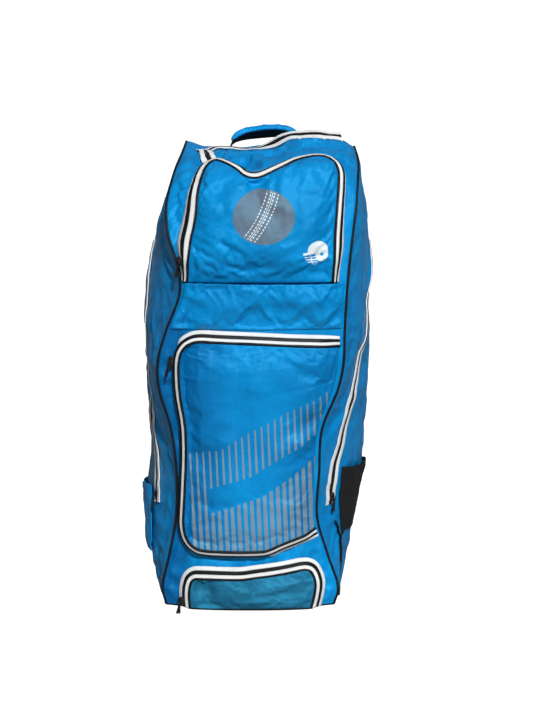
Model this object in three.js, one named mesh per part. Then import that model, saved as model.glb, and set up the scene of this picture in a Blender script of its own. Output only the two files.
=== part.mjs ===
// Cricket kit bag, standing on its base: a tall soft bag with three zipped pockets on the front,
// a zipped pocket on each side, a zip across the top and a grab handle.
// Millimetres. X is to the right, Y to the back and Z up.
import * as THREE from 'three';

// Driving sizes of the body
const WIDTH = 400;           // across the sides where they stand out most
const DEPTH = 310;           // front seams to back, without the pockets on the front
const HEIGHT = 777;          // floor to the upper edge of the body
const BASE = 2.8;            // stiff plate in the bottom
const CLOTH = 2;             // coated cloth with its lining
const SEAM_PIPE = 2.2;       // radius of the piping in the long seams
const RIM_PIPE = 2.4;        // radius of the piping round a pocket's face
const TAPE = 1.4;            // thickness of zip tape
const CHAIN = 2.2;           // thickness of the closed zip teeth
const GAP = 0.45;            // clearance between neighbouring pieces
const SEAT = 0.9;            // height at which a sewn piece lies above its panel
const TOP_SEAT = 1.6;        // the same on the crumpled top

// Sizes of the pockets, tapes and handle
const UPPER_RAISE = 19;      // how far the rim of the upper pocket stands off the front
const UPPER_FOOT = 6;        // the same where that pocket dives under the band
const UPPER_PUFF = 12;       // extra bulge in the middle of its face
const UPPER_GUSSET = 18;     // width of its zip strips seen from the front
const UPPER_GUSSET_LEFT = 25;
const UPPER_GUSSET_FOOT = 10;
const MIDDLE_RAISE = 15;
const MIDDLE_PUFF = 7;
const MIDDLE_GUSSET = 15;
const LOWER_RAISE = 11;
const LOWER_PUFF = 5;
const LOWER_GUSSET = 18;
const BAND_RAISE = 13;       // how far the upper edge of the plain band stands off the front
const SIDE_ZIP = 24;         // width of a side zip with both of its tapes
const TOP_ZIP = 27;          // width of the top zip with both of its tapes
const SIDE_POCKET_RAISE = 5; // how far a low side pocket stands off its side
const STRAP = 28;            // width of the handle's webbing
const STRAP_THICK = 2.6;
const GRIP_THICK = 8;        // padded cover on the handle
const HANDLE_SPAN = 118;
const HANDLE_RISE = 24;
const HANDLE_LEAN = 40;      // degrees that the handle leans back
const SLIDER = { length: 15, width: 10.5, height: 4.6 };
const LOWER_SLIDER = 11;     // height of the lower pocket's slider above the foot of its zip
const TAB = { length: 27, width: 7, height: 2.2 };

const FOOT = BASE + GAP;     // everything that stands on the base starts here
const RISE = HEIGHT - FOOT;
const SEAM_CLEAR = SEAM_PIPE + 2.5 * GAP;  // distance from the line of a long seam to its panels
const LARGEST_INSET = 0.42;  // share of a narrow panel that this distance may take at most
const COLOURS = { blue: 0x1480d2, dull: 0x2f86b8, black: 0x15171a, white: 0xe9ebe8, mesh: 0x22262b };

const named = (columns, rows) => rows.map(
  (row) => Object.fromEntries(columns.map((name, i) => [name, row[i]])));

// Sections of the body from the floor to the top. X values are shares of half the width, Y values
// of the depth and levels of the height: the two front seams, the middle of the front, the flanks
// halfway back, and the two rear seams.
const SECTION_COLUMNS = ['level', 'leftX', 'leftY', 'rightX', 'rightY', 'midY', 'midLevel',
  'leftFlank', 'rightFlank', 'backLeft', 'backRight', 'backLevel'];
const SECTIONS = [
  [0.000, -0.780, -0.447, 0.680, -0.447, -0.495, 0.000, -0.905, 0.800, -0.900, 0.860, 0.000],
  [0.044, -0.805, -0.452, 0.710, -0.452, -0.500, 0.044, -0.940, 0.810, -0.905, 0.865, 0.044],
  [0.120, -0.740, -0.452, 0.615, -0.445, -0.505, 0.120, -0.985, 0.865, -0.905, 0.870, 0.120],
  [0.207, -0.680, -0.445, 0.525, -0.440, -0.490, 0.207, -0.975, 0.905, -0.905, 0.875, 0.207],
  [0.307, -0.670, -0.445, 0.540, -0.440, -0.475, 0.307, -0.930, 0.940, -0.905, 0.880, 0.307],
  [0.405, -0.710, -0.445, 0.560, -0.440, -0.475, 0.405, -0.950, 0.965, -0.905, 0.890, 0.405],
  [0.497, -0.805, -0.445, 0.690, -0.445, -0.485, 0.497, -0.975, 0.985, -0.905, 0.900, 0.497],
  [0.561, -0.810, -0.452, 0.735, -0.452, -0.490, 0.561, -0.995, 0.990, -0.900, 0.905, 0.561],
  [0.627, -0.740, -0.458, 0.740, -0.452, -0.490, 0.627, -0.955, 0.995, -0.885, 0.910, 0.627],
  [0.711, -0.620, -0.452, 0.755, -0.445, -0.485, 0.711, -0.910, 0.980, -0.850, 0.910, 0.711],
  [0.775, -0.645, -0.426, 0.775, -0.426, -0.470, 0.775, -0.870, 0.965, -0.810, 0.910, 0.775],
  [0.830, -0.715, -0.381, 0.800, -0.394, -0.450, 0.833, -0.840, 0.960, -0.770, 0.905, 0.830],
  [0.890, -0.735, -0.290, 0.830, -0.339, -0.425, 0.905, -0.785, 0.935, -0.720, 0.900, 0.890],
  [0.943, -0.690, -0.097, 0.850, -0.242, -0.310, 0.962, -0.705, 0.905, -0.680, 0.895, 0.940],
  [0.975, -0.640, 0.161, 0.875, 0.000, 0.000, 0.985, -0.645, 0.890, -0.645, 0.890, 0.968],
  [0.990, -0.625, 0.435, 0.880, 0.435, 0.435, 0.990, -0.625, 0.880, -0.628, 0.882, 0.984],
];
const BACK = 0.484;          // share of the depth where the flat back stands

// The upper edge is not level: it dips on the left and swells on the right under the zip
const TOP_COLUMNS = ['across', 'lift'];
const TOP_LINE = [
  [-1.00, 0.008], [-0.63, 0.006], [-0.45, -0.006], [-0.12, -0.008], [0.10, -0.002],
  [0.35, 0.005], [0.60, 0.008], [0.77, 0.008], [0.88, -0.006], [1.00, -0.010],
];
const TOP_LINE_FROM = 0.90;  // share of the height where that swell begins
const TOP_LINE_FULL = 0.985;

// Dents and folds, placed by the shares of a panel across and along, with the reach to each side,
// the turn of the fold in degrees and its height, negative for a dent, as a share of the width
const FOLD_COLUMNS = ['across', 'along', 'reachAcross', 'reachAlong', 'turn', 'height'];
const FRONT_FOLDS = named(FOLD_COLUMNS, [
  [0.26, 0.930, 0.07, 0.014, 30, 0.010], [0.42, 0.922, 0.08, 0.012, -25, 0.012],
  [0.60, 0.930, 0.07, 0.012, 25, 0.010], [0.78, 0.936, 0.06, 0.012, -30, 0.008],
  [0.78, 0.966, 0.24, 0.014, 0, 0.032],
]);
const UPPER_FOLDS = named(FOLD_COLUMNS, [
  [0.45, 0.93, 0.13, 0.10, 0, -0.030], [0.20, 0.62, 0.06, 0.28, 8, -0.010],
  [0.80, 0.55, 0.07, 0.30, -8, 0.010], [0.45, 0.12, 0.30, 0.07, 0, -0.014],
]);
const MIDDLE_FOLDS = named(FOLD_COLUMNS, [
  [0.20, 0.38, 0.10, 0.05, -35, -0.014], [0.88, 0.52, 0.09, 0.06, 25, -0.018],
  [0.82, 0.44, 0.10, 0.05, 30, 0.012], [0.50, 0.70, 0.22, 0.12, 15, 0.010],
]);
const LOWER_FOLDS = named(FOLD_COLUMNS, [
  [0.12, 0.50, 0.10, 0.20, 50, -0.014], [0.75, 0.55, 0.20, 0.10, 4, 0.008],
  [0.72, 0.32, 0.20, 0.08, -4, -0.010],
]);
const BAND_FOLDS = named(FOLD_COLUMNS, [
  [0.06, 0.45, 0.03, 0.45, -12, -0.014], [0.35, 0.50, 0.16, 0.16, 35, 0.010],
  [0.62, 0.45, 0.14, 0.16, -30, -0.010], [0.86, 0.55, 0.10, 0.18, 30, 0.008],
]);
const SIDE_FOLDS = named(FOLD_COLUMNS, [
  [0.35, 0.74, 0.12, 0.05, 25, -0.012], [0.55, 0.60, 0.16, 0.05, -20, 0.010],
  [0.45, 0.44, 0.14, 0.05, 20, -0.010],
]);

// Rims of the pockets, as shares across and along the front, clockwise as seen from the front
const PLACE_COLUMNS = ['across', 'along'];
const UPPER_RIM = [
  [0.045, 0.6235], [0.080, 0.668], [0.126, 0.714], [0.165, 0.754], [0.182, 0.780],
  [0.188, 0.803], [0.193, 0.825], [0.200, 0.850], [0.215, 0.868], [0.245, 0.876],
  [0.300, 0.867], [0.360, 0.854], [0.409, 0.841], [0.455, 0.836], [0.496, 0.838],
  [0.550, 0.847], [0.620, 0.858], [0.682, 0.870], [0.754, 0.878], [0.810, 0.878],
  [0.849, 0.869], [0.869, 0.856], [0.874, 0.838], [0.877, 0.802], [0.882, 0.766],
  [0.890, 0.720], [0.897, 0.670], [0.905, 0.6235],
];
const MIDDLE_RIM = [
  [0.968, 0.180], [0.900, 0.174], [0.824, 0.168], [0.719, 0.159], [0.635, 0.150],
  [0.558, 0.147], [0.362, 0.147], [0.231, 0.148], [0.170, 0.152], [0.113, 0.165],
  [0.076, 0.187], [0.067, 0.214], [0.072, 0.261], [0.097, 0.314], [0.117, 0.357],
  [0.125, 0.400], [0.125, 0.441], [0.120, 0.477], [0.127, 0.498], [0.151, 0.511],
  [0.199, 0.518], [0.309, 0.517], [0.508, 0.514], [0.702, 0.510], [0.866, 0.507],
  [0.968, 0.504],
];
const LOWER_RIM = [
  [0.150, 0.000], [0.157, 0.050], [0.163, 0.080], [0.181, 0.092], [0.226, 0.094],
  [0.341, 0.094], [0.454, 0.094], [0.544, 0.098], [0.641, 0.102], [0.728, 0.106],
  [0.814, 0.110], [0.853, 0.108], [0.868, 0.100], [0.871, 0.083], [0.858, 0.050],
  [0.857, 0.000],
];
const BAND = { left: 0.022, right: 0.982, low: 0.5400, high: 0.6200 };
const BAND_END = 0.07;       // share of its width over which the band flattens at each end

// Zips down the sides, as shares from the front seam to the back and along the height
const LEFT_ZIP = [
  [0.56, 0.680], [0.50, 0.620], [0.44, 0.555], [0.41, 0.490], [0.38, 0.430], [0.36, 0.370],
  [0.32, 0.310], [0.27, 0.262], [0.23, 0.232], [0.20, 0.205],
];
const RIGHT_ZIP = [
  [0.60, 0.680], [0.52, 0.625], [0.40, 0.564], [0.306, 0.494], [0.238, 0.427], [0.200, 0.384],
  [0.178, 0.345], [0.150, 0.305], [0.112, 0.266], [0.100, 0.235], [0.100, 0.210],
];
const TOP_ZIP_LINE = [
  [0.190, 0.908], [0.150, 0.928], [0.120, 0.950], [0.123, 0.967], [0.175, 0.976],
  [0.300, 0.977], [0.450, 0.974], [0.600, 0.969], [0.760, 0.966], [0.905, 0.966],
];
const MESH_FRONT = [[0.200, 0.145], [0.175, 0.189], [0.170, 0.232], [0.172, 0.262]];
const LEFT_POCKET_FRONT = [[0.235, 0.112], [0.230, 0.150], [0.262, 0.190], [0.300, 0.224]];
const SIDE_POCKET_BACK = 0.955;
const SIDE_POCKET_END = 0.15;
const SIDE_POCKET_FALL = 0.04; // how much lower its mouth lies at the rear, in shares of the height
const GUSSET_LINE = [
  [0.128, 0.178], [0.150, 0.165], [0.185, 0.143], [0.218, 0.118], [0.225, 0.091],
  [0.180, 0.050], [0.130, 0.000],
];

// Number of cells in the meshes
const CELLS = {
  front: [15, 28], side: [6, 24], back: [8, 10], band: [14, 4], upper: [14, 8], middle: [10, 9],
  lower: [12, 4], sidePocket: [5, 4], seam: 26, pipe: 6, zip: 15, topZip: 18, handle: 16,
};

const group = new THREE.Group();

// Tables, curves and other small helpers
const column = (columns, rows, name) => named(columns, rows).map((row) => row[name]);
const levels = Object.fromEntries(
  SECTION_COLUMNS.map((name) => [name, column(SECTION_COLUMNS, SECTIONS, name)]));
const topAcross = column(TOP_COLUMNS, TOP_LINE, 'across');
const topLifts = column(TOP_COLUMNS, TOP_LINE, 'lift');
const { clamp, lerp } = THREE.MathUtils;
const smooth = (value, low, high) => THREE.MathUtils.smoothstep(value, low, high);
const vector = (x, y, z) => new THREE.Vector3(x, y, z);
const between = (a, b, share) => a.clone().lerp(b, share);

function through(values, share) {
  const spans = values.length - 1;
  const place = clamp(share, 0, 1) * spans;
  const i = Math.min(Math.floor(place), spans - 1);
  const f = place - i;
  const b = values[i];
  const c = values[i + 1];
  const a = i > 0 ? values[i - 1] : 2 * b - c;
  const d = i < spans - 1 ? values[i + 2] : 2 * c - b;
  return 0.5 * (2 * b + (c - a) * f + (2 * a - 5 * b + 4 * c - d) * f * f
    + (3 * b - a - 3 * c + d) * f * f * f);
}

function route(rows) {
  const points = named(PLACE_COLUMNS, rows).map(({ across, along }) => vector(across, along, 0));
  return new THREE.CatmullRomCurve3(points, false, 'catmullrom', 0.5);
}

function topLift(x) {
  const place = clamp(x / (WIDTH / 2), topAcross[0], topAcross.at(-1));
  const i = Math.max(1, topAcross.findIndex((value) => value >= place));
  const share = (place - topAcross[i - 1]) / (topAcross[i] - topAcross[i - 1]);
  return HEIGHT * lerp(topLifts[i - 1], topLifts[i], smooth(share, 0, 1));
}

// A point of the body from shares of the width, depth and height, before the swell of the top
function bodyPoint(x, y, level) {
  return vector(x * WIDTH / 2, y * DEPTH, FOOT + level * RISE);
}

function swelled(point) {
  point.z += topLift(point.x) * smooth(point.z / HEIGHT, TOP_LINE_FROM, TOP_LINE_FULL);
  return point;
}

// Lines of the four long seams, and the panels between them
const frontLine = (x, y) => (v) => bodyPoint(through(x, v), through(y, v), through(levels.level, v));
const backLine = (x) => (v) => bodyPoint(through(x, v), BACK, through(levels.backLevel, v));
const leftLine = frontLine(levels.leftX, levels.leftY);
const rightLine = frontLine(levels.rightX, levels.rightY);
const leftBackLine = backLine(levels.backLeft);
const rightBackLine = backLine(levels.backRight);
const leftSeam = (v) => swelled(leftLine(v));
const rightSeam = (v) => swelled(rightLine(v));
const leftBack = (v) => swelled(leftBackLine(v));
const rightBack = (v) => swelled(rightBackLine(v));
const FRONT_POWER = 2.6;     // how squarely the front bulges between its seams
const SIDE_POWER = 2.2;
const crown = (w, power) => 1 - Math.abs(2 * w - 1) ** power;

function bulged(a, b, middle, w, power) {
  const straight = between(a, b, w);
  return straight.addScaledVector(middle.clone().sub(between(a, b, 0.5)), crown(w, power));
}

function frontShape(w, v) {
  const a = leftLine(v);
  const b = rightLine(v);
  const middle = bodyPoint((a.x + b.x) / WIDTH, through(levels.midY, v), through(levels.midLevel, v));
  return swelled(bulged(a, b, middle, w, FRONT_POWER));
}

function sideShape(hand) {
  return (w, v) => {
    const a = hand < 0 ? leftLine(v) : rightLine(v);
    const b = hand < 0 ? leftBackLine(v) : rightBackLine(v);
    const middle = between(a, b, 0.5);
    middle.x = through(hand < 0 ? levels.leftFlank : levels.rightFlank, v) * WIDTH / 2;
    return swelled(bulged(a, b, middle, w, SIDE_POWER));
  };
}

function backShape(w, v) {
  return swelled(between(rightBackLine(v), leftBackLine(v), w));
}

// Slopes of a surface, its outward normal and the point at a height above it
const STEP = 1e-3;
function slopes(surface, w, v) {
  const w0 = clamp(w, STEP, 1 - STEP);
  const v0 = clamp(v, STEP, 1 - STEP);
  const across = surface(w0 + STEP, v0).sub(surface(w0 - STEP, v0)).divideScalar(2 * STEP);
  const along = surface(w0, v0 + STEP).sub(surface(w0, v0 - STEP)).divideScalar(2 * STEP);
  return { across, along };
}

function normal(surface, w, v) {
  const { across, along } = slopes(surface, w, v);
  return across.cross(along).normalize();
}

function lay(surface, w, v, height) {
  const point = surface(w, v).addScaledVector(normal(surface, w, v), height);
  point.z = Math.max(point.z, FOOT);
  return point;
}

function foldHeight(folds, w, v) {
  let height = 0;
  for (const { across, along, reachAcross, reachAlong, turn, height: share } of folds) {
    const angle = THREE.MathUtils.degToRad(turn);
    const a = (w - across) / reachAcross;
    const b = (v - along) / reachAlong;
    const u = a * Math.cos(angle) + b * Math.sin(angle);
    const t = b * Math.cos(angle) - a * Math.sin(angle);
    height += share * WIDTH * Math.exp(-(u * u + t * t));
  }
  return height;
}

// A panel's folds die out over these shares next to its seams and above the floor
const SEAM_FADE = 0.06;
const FLOOR_FADE = 0.04;
function folded(surface, folds, flip) {
  return (w, v) => {
    const point = surface(w, v);
    const edge = smooth(Math.min(w, 1 - w), 0, SEAM_FADE) * smooth(v, 0, FLOOR_FADE);
    return point.addScaledVector(normal(surface, w, v), flip * edge * foldHeight(folds, w, v));
  };
}

const front = folded(frontShape, FRONT_FOLDS, 1);
const rightSide = folded(sideShape(1), SIDE_FOLDS, 1);
// The left side is read from the back to the front, so that its normal points outwards too
const leftSide = (w, v) => folded(sideShape(-1), SIDE_FOLDS, -1)(1 - w, v);

// Moves a place on a surface by a distance in millimetres
function shifted(surface, w, v, move) {
  const { across, along } = slopes(surface, w, v);
  const aa = across.dot(across);
  const ab = across.dot(along);
  const bb = along.dot(along);
  const ma = move.dot(across);
  const mb = move.dot(along);
  const size = aa * bb - ab * ab;
  return [w + (ma * bb - mb * ab) / size, v + (mb * aa - ma * ab) / size];
}

// Solids: a closed body from points and faces, a thin slab between two skins and a swept section
function solid(points, faces) {
  const flat = points.flatMap((point) => [point.x, point.y, point.z]);
  let volume = 0;
  for (const [a, b, c] of faces) {
    volume += points[a].dot(points[b].clone().cross(points[c]));
  }
  const index = faces.flatMap(([a, b, c]) => (volume < 0 ? [a, c, b] : [a, b, c]));
  const geometry = new THREE.BufferGeometry();
  geometry.setAttribute('position', new THREE.Float32BufferAttribute(flat, 3));
  geometry.setIndex(index);
  geometry.computeVertexNormals();
  return geometry;
}

function slab(outer, inner, [columns, rows]) {
  const points = [];
  const faces = [];
  const count = (columns + 1) * (rows + 1);
  const at = (i, j, skin) => skin * count + i * (rows + 1) + j;
  for (const skin of [outer, inner]) {
    for (let i = 0; i <= columns; i += 1) {
      for (let j = 0; j <= rows; j += 1) {
        points.push(skin(i / columns, j / rows));
      }
    }
  }
  const quad = (a, b, c, d) => faces.push([a, b, c], [a, c, d]);
  for (let i = 0; i < columns; i += 1) {
    for (let j = 0; j < rows; j += 1) {
      quad(at(i, j, 0), at(i + 1, j, 0), at(i + 1, j + 1, 0), at(i, j + 1, 0));
      quad(at(i, j, 1), at(i, j + 1, 1), at(i + 1, j + 1, 1), at(i + 1, j, 1));
    }
    quad(at(i, 0, 0), at(i, 0, 1), at(i + 1, 0, 1), at(i + 1, 0, 0));
    quad(at(i, rows, 0), at(i + 1, rows, 0), at(i + 1, rows, 1), at(i, rows, 1));
  }
  for (let j = 0; j < rows; j += 1) {
    quad(at(0, j, 0), at(0, j + 1, 0), at(0, j + 1, 1), at(0, j, 1));
    quad(at(columns, j, 0), at(columns, j, 1), at(columns, j + 1, 1), at(columns, j + 1, 0));
  }
  return solid(points, faces);
}

function sweep(sections) {
  const sides = sections[0].length;
  const points = sections.flat();
  const faces = [];
  for (let i = 0; i + 1 < sections.length; i += 1) {
    for (let k = 0; k < sides; k += 1) {
      const a = i * sides + k;
      const b = i * sides + (k + 1) % sides;
      faces.push([a, b, b + sides], [a, b + sides, a + sides]);
    }
  }
  const last = points.length - sides;
  for (let k = 1; k + 1 < sides; k += 1) {
    faces.push([0, k + 1, k], [last, last + k, last + k + 1]);
  }
  return solid(points, faces);
}

// Direction of a line of points at one of them
function heading(points, i) {
  const before = points[Math.max(i - 1, 0)];
  const after = points[Math.min(i + 1, points.length - 1)];
  return after.clone().sub(before).normalize();
}

function tube(points, ups, radius, sides) {
  return sweep(points.map((point, i) => {
    const along = heading(points, i);
    const across = along.clone().cross(ups[i]).normalize();
    const up = across.clone().cross(along);
    return Array.from({ length: sides }, (_, k) => {
      const angle = 2 * Math.PI * (k + 0.5) / sides;
      const corner = point.clone().addScaledVector(across, radius * Math.cos(angle));
      corner.addScaledVector(up, radius * Math.sin(angle));
      corner.z = Math.max(corner.z, FOOT);
      return corner;
    });
  }));
}

// A flat strip between two lines of points, as thick as given on the side of the outward ones
function strip(nearLine, farLine, outward, thickness) {
  return sweep(nearLine.map((near, i) => {
    const far = farLine[i];
    const up = far.clone().sub(near).cross(heading(nearLine, i)).normalize();
    if (up.dot(outward[i]) < 0) {
      up.negate();
    }
    const rise = up.multiplyScalar(thickness);
    const corners = [near.clone(), far.clone(), far.clone().add(rise), near.clone().add(rise)];
    return corners.map((corner) => corner.setZ(Math.max(corner.z, FOOT)));
  }));
}

function add(name, geometry, colour, roughness = 0.6) {
  const material = new THREE.MeshStandardMaterial({ color: colour, roughness, metalness: 0 });
  const mesh = new THREE.Mesh(geometry, material);
  mesh.name = name;
  group.add(mesh);
  return mesh;
}

// The share of a panel's width that leaves a clearance to the piping in the seam at one side of it
function seamShare(seam, opposite, v) {
  const place = clamp(v, STEP, 1 - STEP);
  const along = seam(place + STEP).sub(seam(place - STEP)).normalize();
  const across = opposite(v).sub(seam(v));
  across.addScaledVector(along, -across.dot(along));
  return Math.min(SEAM_CLEAR / across.length(), LARGEST_INSET);
}

// The share between two seams that a share of the panel's own width stands for
function panelShare(first, second, a, v) {
  return lerp(seamShare(first, second, v), 1 - seamShare(second, first, v), a);
}

function panel(name, surface, [first, second], top, cells) {
  const skin = (height) => (a, b) => {
    const v = top * b;
    return lay(surface, panelShare(first, second, a, v), v, height);
  };
  add(name, slab(skin(0), skin(-CLOTH), cells), COLOURS.blue);
}

// The front panel goes on over the top, and its last row reaches back to the rear piping
function frontPanelSkin(height) {
  const rows = CELLS.front[1];
  return (a, b) => {
    const v = Math.min(b * rows / (rows - 1), 1);
    const point = lay(front, panelShare(leftSeam, rightSeam, a, v), v, height);
    if (b === 1) {
      point.y = BACK * DEPTH - SEAM_PIPE - GAP;
    }
    return point;
  };
}

function buildBody() {
  add('front_panel', slab(frontPanelSkin(0), frontPanelSkin(-CLOTH), CELLS.front), COLOURS.blue);
  panel('right_side_panel', rightSide, [rightSeam, rightBack], 1, CELLS.side);
  panel('left_side_panel', leftSide, [leftBack, leftSeam], 1, CELLS.side);
  const lastSection = (levels.backLevel.at(-1) - levels.backLevel.at(-2)) * RISE;
  const top = 1 - (SEAM_PIPE + 5 * GAP) / lastSection / (SECTIONS.length - 1);
  panel('back_panel', backShape, [rightBack, leftBack], top, CELLS.back);
}

// The plate in the bottom follows the panels and the lower pocket
function buildBase() {
  const outline = [];
  const steps = CELLS.front[0];
  for (let i = 0; i <= steps; i += 1) {
    outline.push(lay(front, i / steps, 0, lowerProfile(i / steps) - CLOTH / 2));
  }
  const sideSteps = CELLS.side[0];
  for (let i = 1; i < sideSteps; i += 1) {
    outline.push(lay(rightSide, i / sideSteps, 0, -CLOTH / 2));
  }
  outline.push(rightBack(0), leftBack(0));
  for (let i = 1; i < sideSteps; i += 1) {
    outline.push(lay(leftSide, i / sideSteps, 0, -CLOTH / 2));
  }
  const shape = new THREE.Shape(outline.map((point) => new THREE.Vector2(point.x, point.y)));
  add('base_panel', new THREE.ExtrudeGeometry(shape, { depth: BASE, bevelEnabled: false }), COLOURS.black);
}

// Pipings in the long seams
const BACK_PIPE_TOP = 0.987; // share of the height where the upright rear pipings end
function pipeAlong(name, line, outward, from, to, count) {
  const shares = Array.from({ length: count + 1 }, (_, i) => lerp(from, to, i / count));
  const geometry = tube(shares.map(line), shares.map(outward), SEAM_PIPE, CELLS.pipe);
  add(name, geometry, COLOURS.black, 0.5);
}

function buildPipings() {
  const frontward = () => vector(0, -1, 0.2);
  const backward = () => vector(0, 1, 0.2);
  const level = () => vector(0, 0, 1);
  pipeAlong('left_seam_piping', leftSeam, frontward, 0, 1, CELLS.seam);
  pipeAlong('right_seam_piping', rightSeam, frontward, 0, 1, CELLS.seam);
  pipeAlong('left_back_piping', leftBack, backward, 0, BACK_PIPE_TOP, CELLS.seam);
  pipeAlong('right_back_piping', rightBack, backward, 0, BACK_PIPE_TOP, CELLS.seam);
  pipeAlong('top_back_piping', (s) => backShape(1 - s, 1), level, 0.01, 0.99, CELLS.seam);
  const line = route(GUSSET_LINE);
  const height = SEAT + SEAM_PIPE + GAP;
  const laid = (share) => {
    const place = line.getPoint(share);
    return lay(rightSide, place.x, place.y, height);
  };
  const outward = (share) => {
    const place = line.getPoint(share);
    return normal(rightSide, place.x, place.y);
  };
  pipeAlong('right_gusset_piping', laid, outward, 0, 1, CELLS.zip);
}

// The three strips of a zip from one edge to the other
const zipKinds = (first, last) => [
  { kind: first, thickness: TAPE, colour: COLOURS.white },
  { kind: 'zip_chain', thickness: CHAIN, colour: COLOURS.black },
  { kind: last, thickness: TAPE, colour: COLOURS.white },
];

// Pockets on the front. Each has a rim line, a height of that rim and a zipped gusset round it.
function samples(rim, corners, counts) {
  const curve = route(rim);
  const stops = [0, ...corners.map((k) => k / (rim.length - 1)), 1];
  const shares = [0];
  counts.forEach((count, s) => {
    for (let i = 1; i <= count; i += 1) {
      shares.push(lerp(stops[s], stops[s + 1], i / count));
    }
  });
  return shares.map((share) => curve.getPoint(share)).map((point) => [point.x, point.y]);
}

function moved(places, distance) {
  const points = places.map(([w, v]) => front(w, v));
  return places.map(([w, v], i) => {
    const outward = normal(front, w, v).cross(heading(points, i)).normalize();
    return shifted(front, w, v, outward.multiplyScalar(distance));
  });
}

// Lines of the gusset at a distance down the slope from the rim to the front panel. None comes
// nearer to a long seam than a little more than the panel's own edge does.
const SEAM_MARGIN = 1.2;
const GUSSET_ROUND = 1.7;    // 1 is a straight slope, and more stays high next to the rim
function gussetLine(pocket, millimetres) {
  const points = pocket.places.map(([w, v]) => front(w, v));
  return pocket.places.map(([w, v], i) => {
    const raise = pocket.height(w, v);
    const width = pocket.gusset(w, v);
    const slope = Math.hypot(width, raise - SEAT);
    const share = millimetres(slope) / slope;
    const outward = normal(front, w, v).cross(heading(points, i)).normalize();
    const [w1, v1] = shifted(front, w, v, outward.multiplyScalar(width * share));
    const edge = SEAM_MARGIN * seamShare(leftSeam, rightSeam, v);
    const height = lerp(raise, SEAT, share ** GUSSET_ROUND);
    return lay(front, clamp(w1, edge, 1 - edge), clamp(v1, 0, 1), height);
  });
}

function gussetStrip(pocket, k) {
  const first = RIM_PIPE + 2 * GAP;
  const width = (slope) => (slope - first - 2 * GAP) / 3;
  const near = gussetLine(pocket, (slope) => first + k * (width(slope) + GAP));
  const far = gussetLine(pocket, (slope) => first + k * (width(slope) + GAP) + width(slope));
  return { near, far };
}

const FACE_POWER = 2.5;      // how squarely a pocket's face bulges inside its rim
const DOME_POWER = 0.8;
const FACE_FADE = 0.12;      // share of a face over which its folds die out next to the rim
function buildPocket(name, pocket) {
  const ups = pocket.places.map(([w, v]) => normal(front, w, v));
  zipKinds('inner_tape', 'outer_tape').forEach(({ kind, thickness, colour }, k) => {
    const { near, far } = gussetStrip(pocket, k);
    add(`${name}_${kind}`, strip(near, far, ups, thickness), colour, 0.7);
  });
  const rimPoints = pocket.places.map(([w, v]) => lay(front, w, v, pocket.height(w, v)));
  add(`${name}_piping`, tube(rimPoints, ups, RIM_PIPE, CELLS.pipe), COLOURS.black, 0.5);

  // The face is a patch between its four sides, which follow the rim at the piping's clearance
  const inset = moved(pocket.places, -RIM_PIPE - GAP);
  const sides = pocket.sides(inset);
  const place = (a, b) => {
    const i = Math.round(a * pocket.cells[0]);
    const j = Math.round(b * pocket.cells[1]);
    const corner = (p, q) => (q ? sides.top : sides.bottom)[p ? pocket.cells[0] : 0];
    return [0, 1].map((n) => (1 - b) * sides.bottom[i][n] + b * sides.top[i][n]
      + (1 - a) * sides.left[j][n] + a * sides.right[j][n]
      - (1 - a) * (1 - b) * corner(0, 0)[n] - a * (1 - b) * corner(1, 0)[n]
      - (1 - a) * b * corner(0, 1)[n] - a * b * corner(1, 1)[n]);
  };
  const skin = (depth) => (a, b) => {
    const [w, v] = place(a, b);
    const dome = (crown(a, FACE_POWER) * crown(b, FACE_POWER)) ** DOME_POWER;
    const relief = foldHeight(pocket.folds, a, b) * smooth(Math.min(a, 1 - a, b, 1 - b), 0, FACE_FADE);
    return lay(front, w, v, pocket.height(w, v) + pocket.puff * dome + relief - depth);
  };
  add(`${name}_face`, slab(skin(0), skin(CLOTH), pocket.cells), pocket.colour);
}

const straight = (a, b, count) => Array.from({ length: count + 1 },
  (_, i) => [0, 1].map((n) => lerp(a[n], b[n], i / count)));

// A pocket whose rim goes up the left, over the top and down the right
function arched(cells) {
  const [across, up] = cells;
  return (line) => ({
    left: line.slice(0, up + 1),
    top: line.slice(up, up + across + 1),
    right: line.slice(up + across).reverse(),
    bottom: straight(line[0], line.at(-1), across),
  });
}

// A pocket whose rim goes along the bottom, up the left and along the top, with its right edge
// held by the seam
function sideways(cells) {
  const [across, up] = cells;
  return (line) => ({
    bottom: line.slice(0, across + 1).reverse(),
    left: line.slice(across, across + up + 1),
    top: line.slice(across + up),
    right: straight(line[0], line.at(-1), up),
  });
}

// The upper pocket's zip is wide at the left and narrows towards the band, where the rim dives too
const LEFT_ARM = { ends: 0.18, over: 0.30 };
const ABOVE_BAND = { rim: 0.06, gusset: 0.10 };
function upperGusset(w, v) {
  const full = lerp(UPPER_GUSSET_LEFT, UPPER_GUSSET, smooth(w, LEFT_ARM.ends, LEFT_ARM.over));
  return lerp(UPPER_GUSSET_FOOT, full, smooth(v, BAND.high, BAND.high + ABOVE_BAND.gusset));
}

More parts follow.
